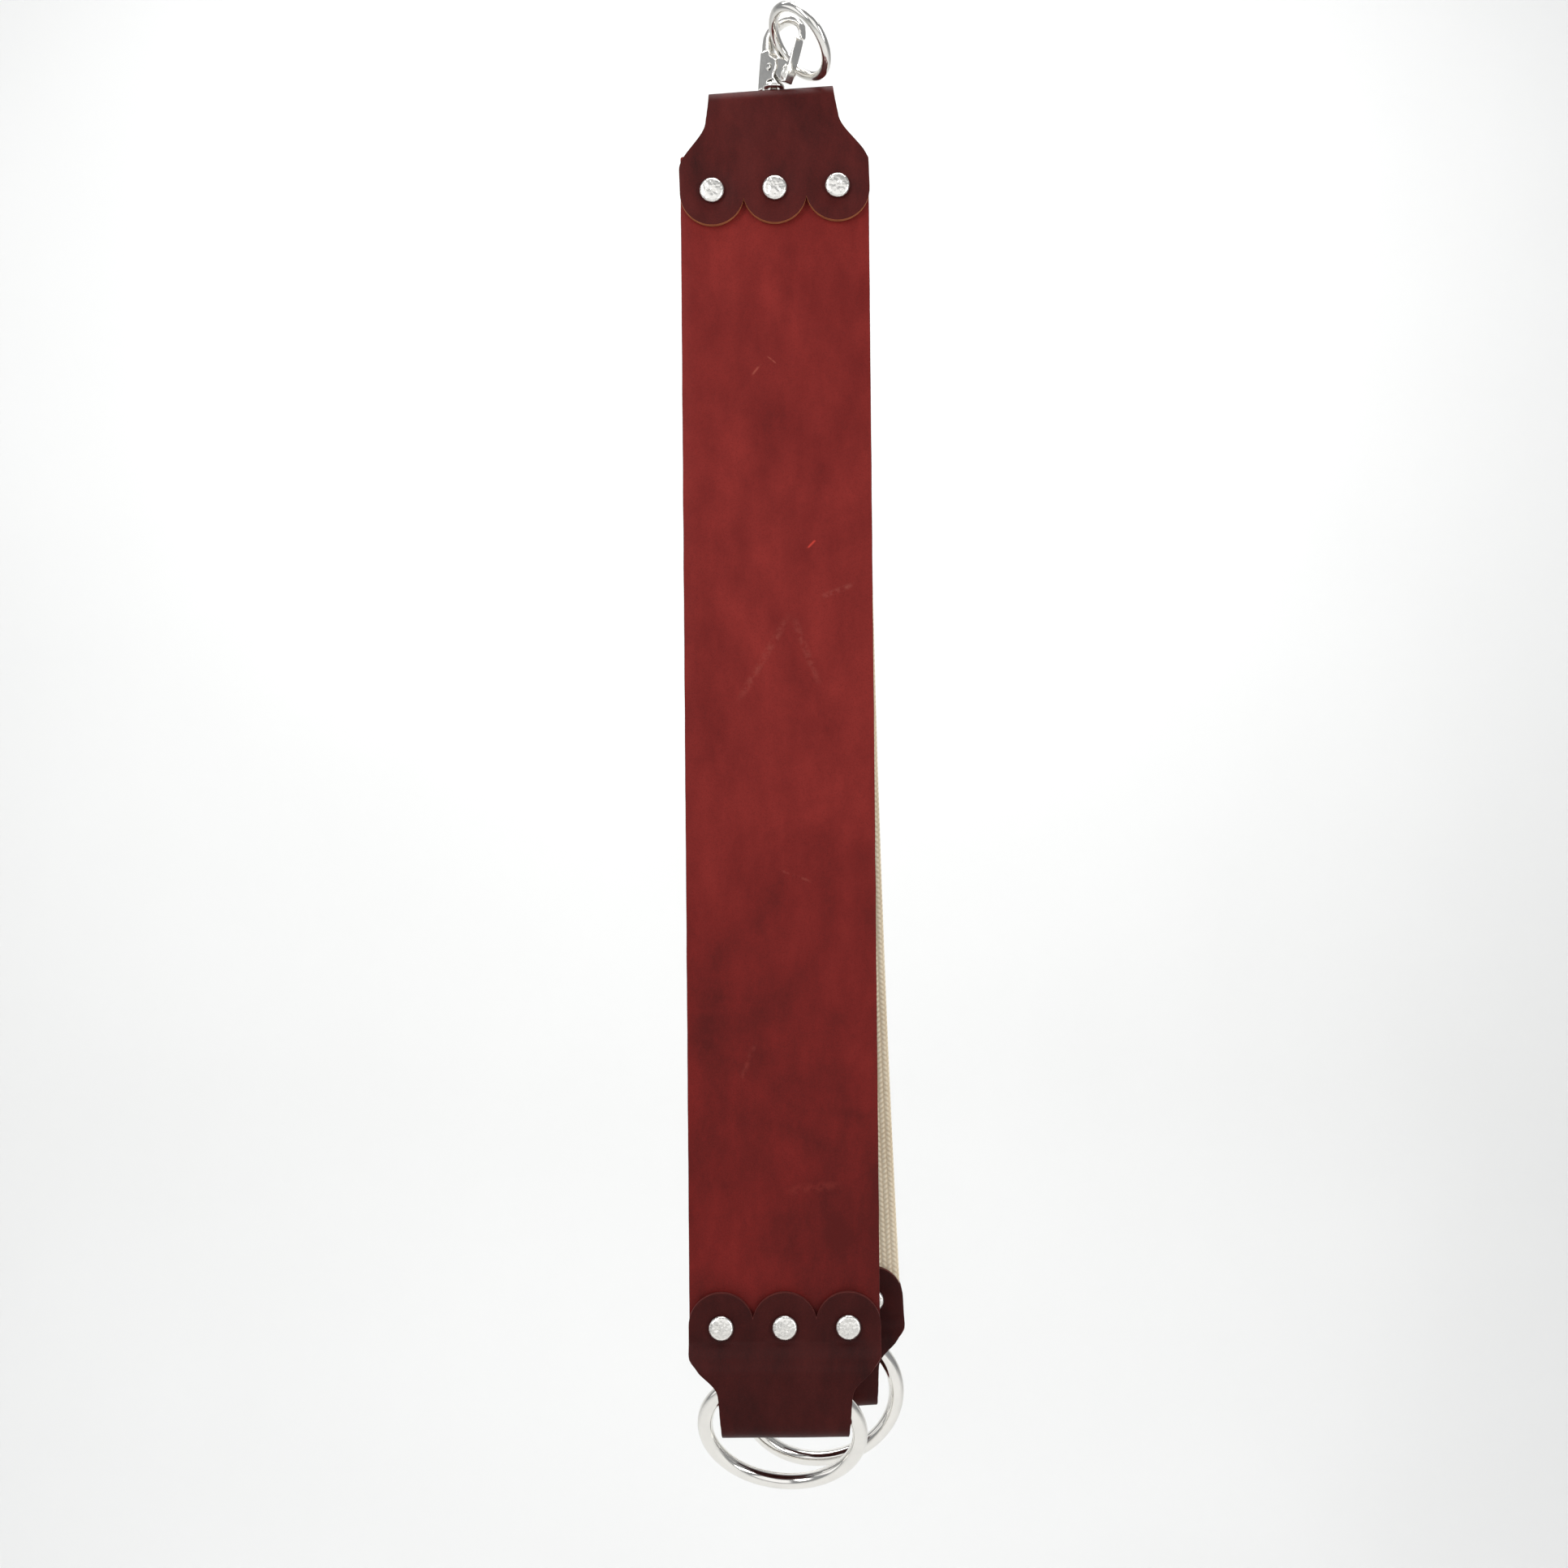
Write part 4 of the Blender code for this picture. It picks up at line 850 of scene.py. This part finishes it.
def strop():
    """All the pieces and their finishes."""
    # Paler strokes on the strap: middle (x, z), angle, length, width, strength and tint.
    strap_marks = (
        ((13.7 * MM, -211 * MM), 0.78, 6.5 * MM, 0.7 * MM, 0.8, (0.50, 0.045, 0.03)),
        ((-6 * MM, -257 * MM), 1.03, 46 * MM, 2.2 * MM, 0.30, (0.26, 0.060, 0.045)),
        ((11 * MM, -254 * MM), -1.22, 34 * MM, 2.2 * MM, 0.26, (0.26, 0.060, 0.045)),
        ((24 * MM, -230 * MM), 0.35, 17 * MM, 1.6 * MM, 0.35, (0.28, 0.070, 0.055)),
        ((-8 * MM, -140 * MM), 0.9, 7 * MM, 0.7 * MM, 0.5, (0.34, 0.080, 0.055)),
        ((-2 * MM, -136 * MM), -0.7, 6 * MM, 0.5 * MM, 0.5, (0.34, 0.080, 0.055)),
        ((6 * MM, -345 * MM), -0.35, 15 * MM, 0.9 * MM, 0.35, (0.26, 0.060, 0.045)),
        ((-14 * MM, -420 * MM), 1.2, 22 * MM, 1.6 * MM, 0.28, (0.22, 0.040, 0.030)),
        ((12 * MM, -470 * MM), 0.1, 26 * MM, 3.0 * MM, 0.25, (0.22, 0.030, 0.022)),
    )
    strap_mats = (
        leather("strap_grain", OXBLOOD, 0.47, 0.8, 1.0, strap_marks, (-520 * MM, -250 * MM, 0.17)),
        cut_edge("strap_edge", DARK_EDGE),
        leather("strap_flesh", FLESH_SIDE, 0.75, 1.3, 0.4),
    )
    grain = leather("tab_grain", CHOCOLATE, 0.45, 0.9, 0.8)
    flesh = leather("tab_flesh", FLESH_SIDE, 0.75, 1.3, 0.4)
    top_mats = (grain, cut_edge("top_tab_edge", TAN_EDGE), flesh)
    dark_grain = leather("grip_tab_grain", DARK_CHOCOLATE, 0.45, 0.9, 0.8)
    grip_mats = (dark_grain, cut_edge("grip_tab_edge", DARK_EDGE), flesh)
    cast = nickel("nickel_cast", 0.20, 1.0)
    drawn = nickel("nickel_drawn", 0.11, 0.5)
    struck = nickel("nickel_struck", 0.30, 1.0, 0.5)

    leather_strap(strap_mats)
    canvas_strap(webbing("cotton_webbing"))

    folded_tab(
        "top_tab",
        body="top_tab",
        at=TOP_ROW,
        row=TOP_ROW_TO_FOLD,
        shoulder=TOP_SHOULDER,
        pockets=(STACK_HALF, TOP_POCKET_BACK),
        rest=STACK_HALF,
        corner=TOP_CORNER,
        slot=STEM_SLOT,
        skew=TOP_FOLD_SKEW,
        ragged=TOP_RAGGED,
        mats=top_mats,
    )
    for kind, row, thick in (("leather", LEATHER_ROW, LEATHER_THICK), ("canvas", CANVAS_ROW, CANVAS_THICK)):
        folded_tab(
            f"{kind}_grip_tab",
            body=f"{kind}_strap",
            at=row,
            row=GRIP_ROW_TO_FOLD,
            shoulder=GRIP_SHOULDER,
            pockets=GRIP_POCKET,
            rest=thick / 2 + GAP,
            corner=GRIP_CORNER,
            slot=None,
            skew=0.0,
            ragged=GRIP_RAGGED,
            mats=grip_mats,
        )
    rows = (
        ("top", "top_tab", TOP_ROW, STACK_HALF),
        ("leather", "leather_strap", LEATHER_ROW, LEATHER_THICK / 2 + GAP),
        ("canvas", "canvas_strap", CANVAS_ROW, CANVAS_THICK / 2 + GAP),
    )
    for prefix, body, row, half in rows:
        for number in (1, 2, 3):
            hammered_rivet(prefix, number, body, row, half + TAB_THICK, struck)

    for kind in ("leather", "canvas"):
        wire_ring(f"{kind}_pull_ring", f"{kind}_pull_ring", PULL_RING_RADIUS, PULL_RING_WIRE, drawn)
    wire_ring("clip_ring", "clip_ring", CLIP_RING_RADIUS, CLIP_RING_WIRE, drawn)
    cast_metal("hook_frame", "snap_hook", 0.22 * MM, 9, cast)
    cast_metal("trigger_lever", "trigger", 0.2 * MM, 7, cast)
    cast_metal("trigger_pivot_pin", "snap_hook", 0.12 * MM, 5, cast)
    cast_metal("trigger_spring", "snap_hook", 0.06 * MM, 4, drawn)
    cast_metal("swivel_stud", "swivel", 0.2 * MM, 5, cast)


# Stage -------------------------------------------------------------------------------------------


def stage():
    """A pale floor that sweeps up into a pale wall well behind the strop."""
    bm = bmesh.new()
    reach, top, bend = 3.0, 2.2, 0.5
    profile = [(-reach, FLOOR_Z)]
    profile += arc((WALL_Y - bend, FLOOR_Z + bend), bend, -90, 0, 16)
    profile += [(WALL_Y, top)]
    lines = [[bm.verts.new((x, y, z)) for x in (-reach, reach)] for y, z in profile]
    for here, there in zip(lines, lines[1:]):
        bm.faces.new((here[0], here[1], there[1], there[0]))
    mesh = bpy.data.meshes.new("studio_sweep")
    bm.to_mesh(mesh)
    bm.free()
    add_object("studio_sweep", mesh, plain("studio_paper", (0.86, 0.86, 0.85), 0.9))


def area_light(name, place, target, size, power):
    """A rectangular lamp; size is in metres and power in watts."""
    light = bpy.data.lights.new(name, "AREA")
    light.shape = "RECTANGLE"
    light.size, light.size_y = size
    light.energy = power
    obj = bpy.data.objects.new(name, light)
    bpy.context.scene.collection.objects.link(obj)
    obj.location = place
    obj.rotation_euler = (Vector(target) - Vector(place)).to_track_quat("-Z", "Y").to_euler()


def lights():
    """Soft lamps on both sides and above, and weak broad panels for the nickel to mirror."""
    area_light("key_light", (-0.95, -1.25, 0.35), HEART, (0.5, 1.2), 14)
    area_light("fill_light", (1.15, -1.05, -0.2), HEART, (0.35, 1.2), 9)
    area_light("top_light", (0.1, -0.2, 1.0), HEART, (1.0, 0.6), 9)
    area_light("front_panel", (0.15, -2.0, -0.1), HEART, (1.6, 1.6), 7)
    area_light("side_panel", (-2.2, -0.3, -0.1), HEART, (1.4, 1.6), 6)
    area_light("wall_light", (0, 0.25, 0.9), (0, WALL_Y, -0.3), (1.8, 0.4), 12)
    world = bpy.data.worlds.new("studio")
    world.use_nodes = True
    background = world.node_tree.nodes["Background"]
    background.inputs["Color"].default_value = (0.80, 0.82, 0.85, 1)
    background.inputs["Strength"].default_value = 0.38
    bpy.context.scene.world = world


def camera():
    """In front of the strop, a little under its middle, turned up slightly and rolled a little."""
    data = bpy.data.cameras.new("camera")
    data.lens = CAMERA_LENS
    data.sensor_width = 36.0
    data.clip_start = 0.01
    obj = bpy.data.objects.new("camera", data)
    bpy.context.scene.collection.objects.link(obj)
    obj.location = CAMERA_PLACE
    pitch = Matrix.Rotation(math.pi / 2 + CAMERA_PITCH, 4, "X")
    roll = Matrix.Rotation(-CAMERA_ROLL, 4, "Z")
    obj.rotation_euler = (pitch @ roll).to_euler()
    bpy.context.scene.camera = obj


camera()
strop()
stage()
lights()
bpy.context.scene.view_settings.view_transform = "Standard"
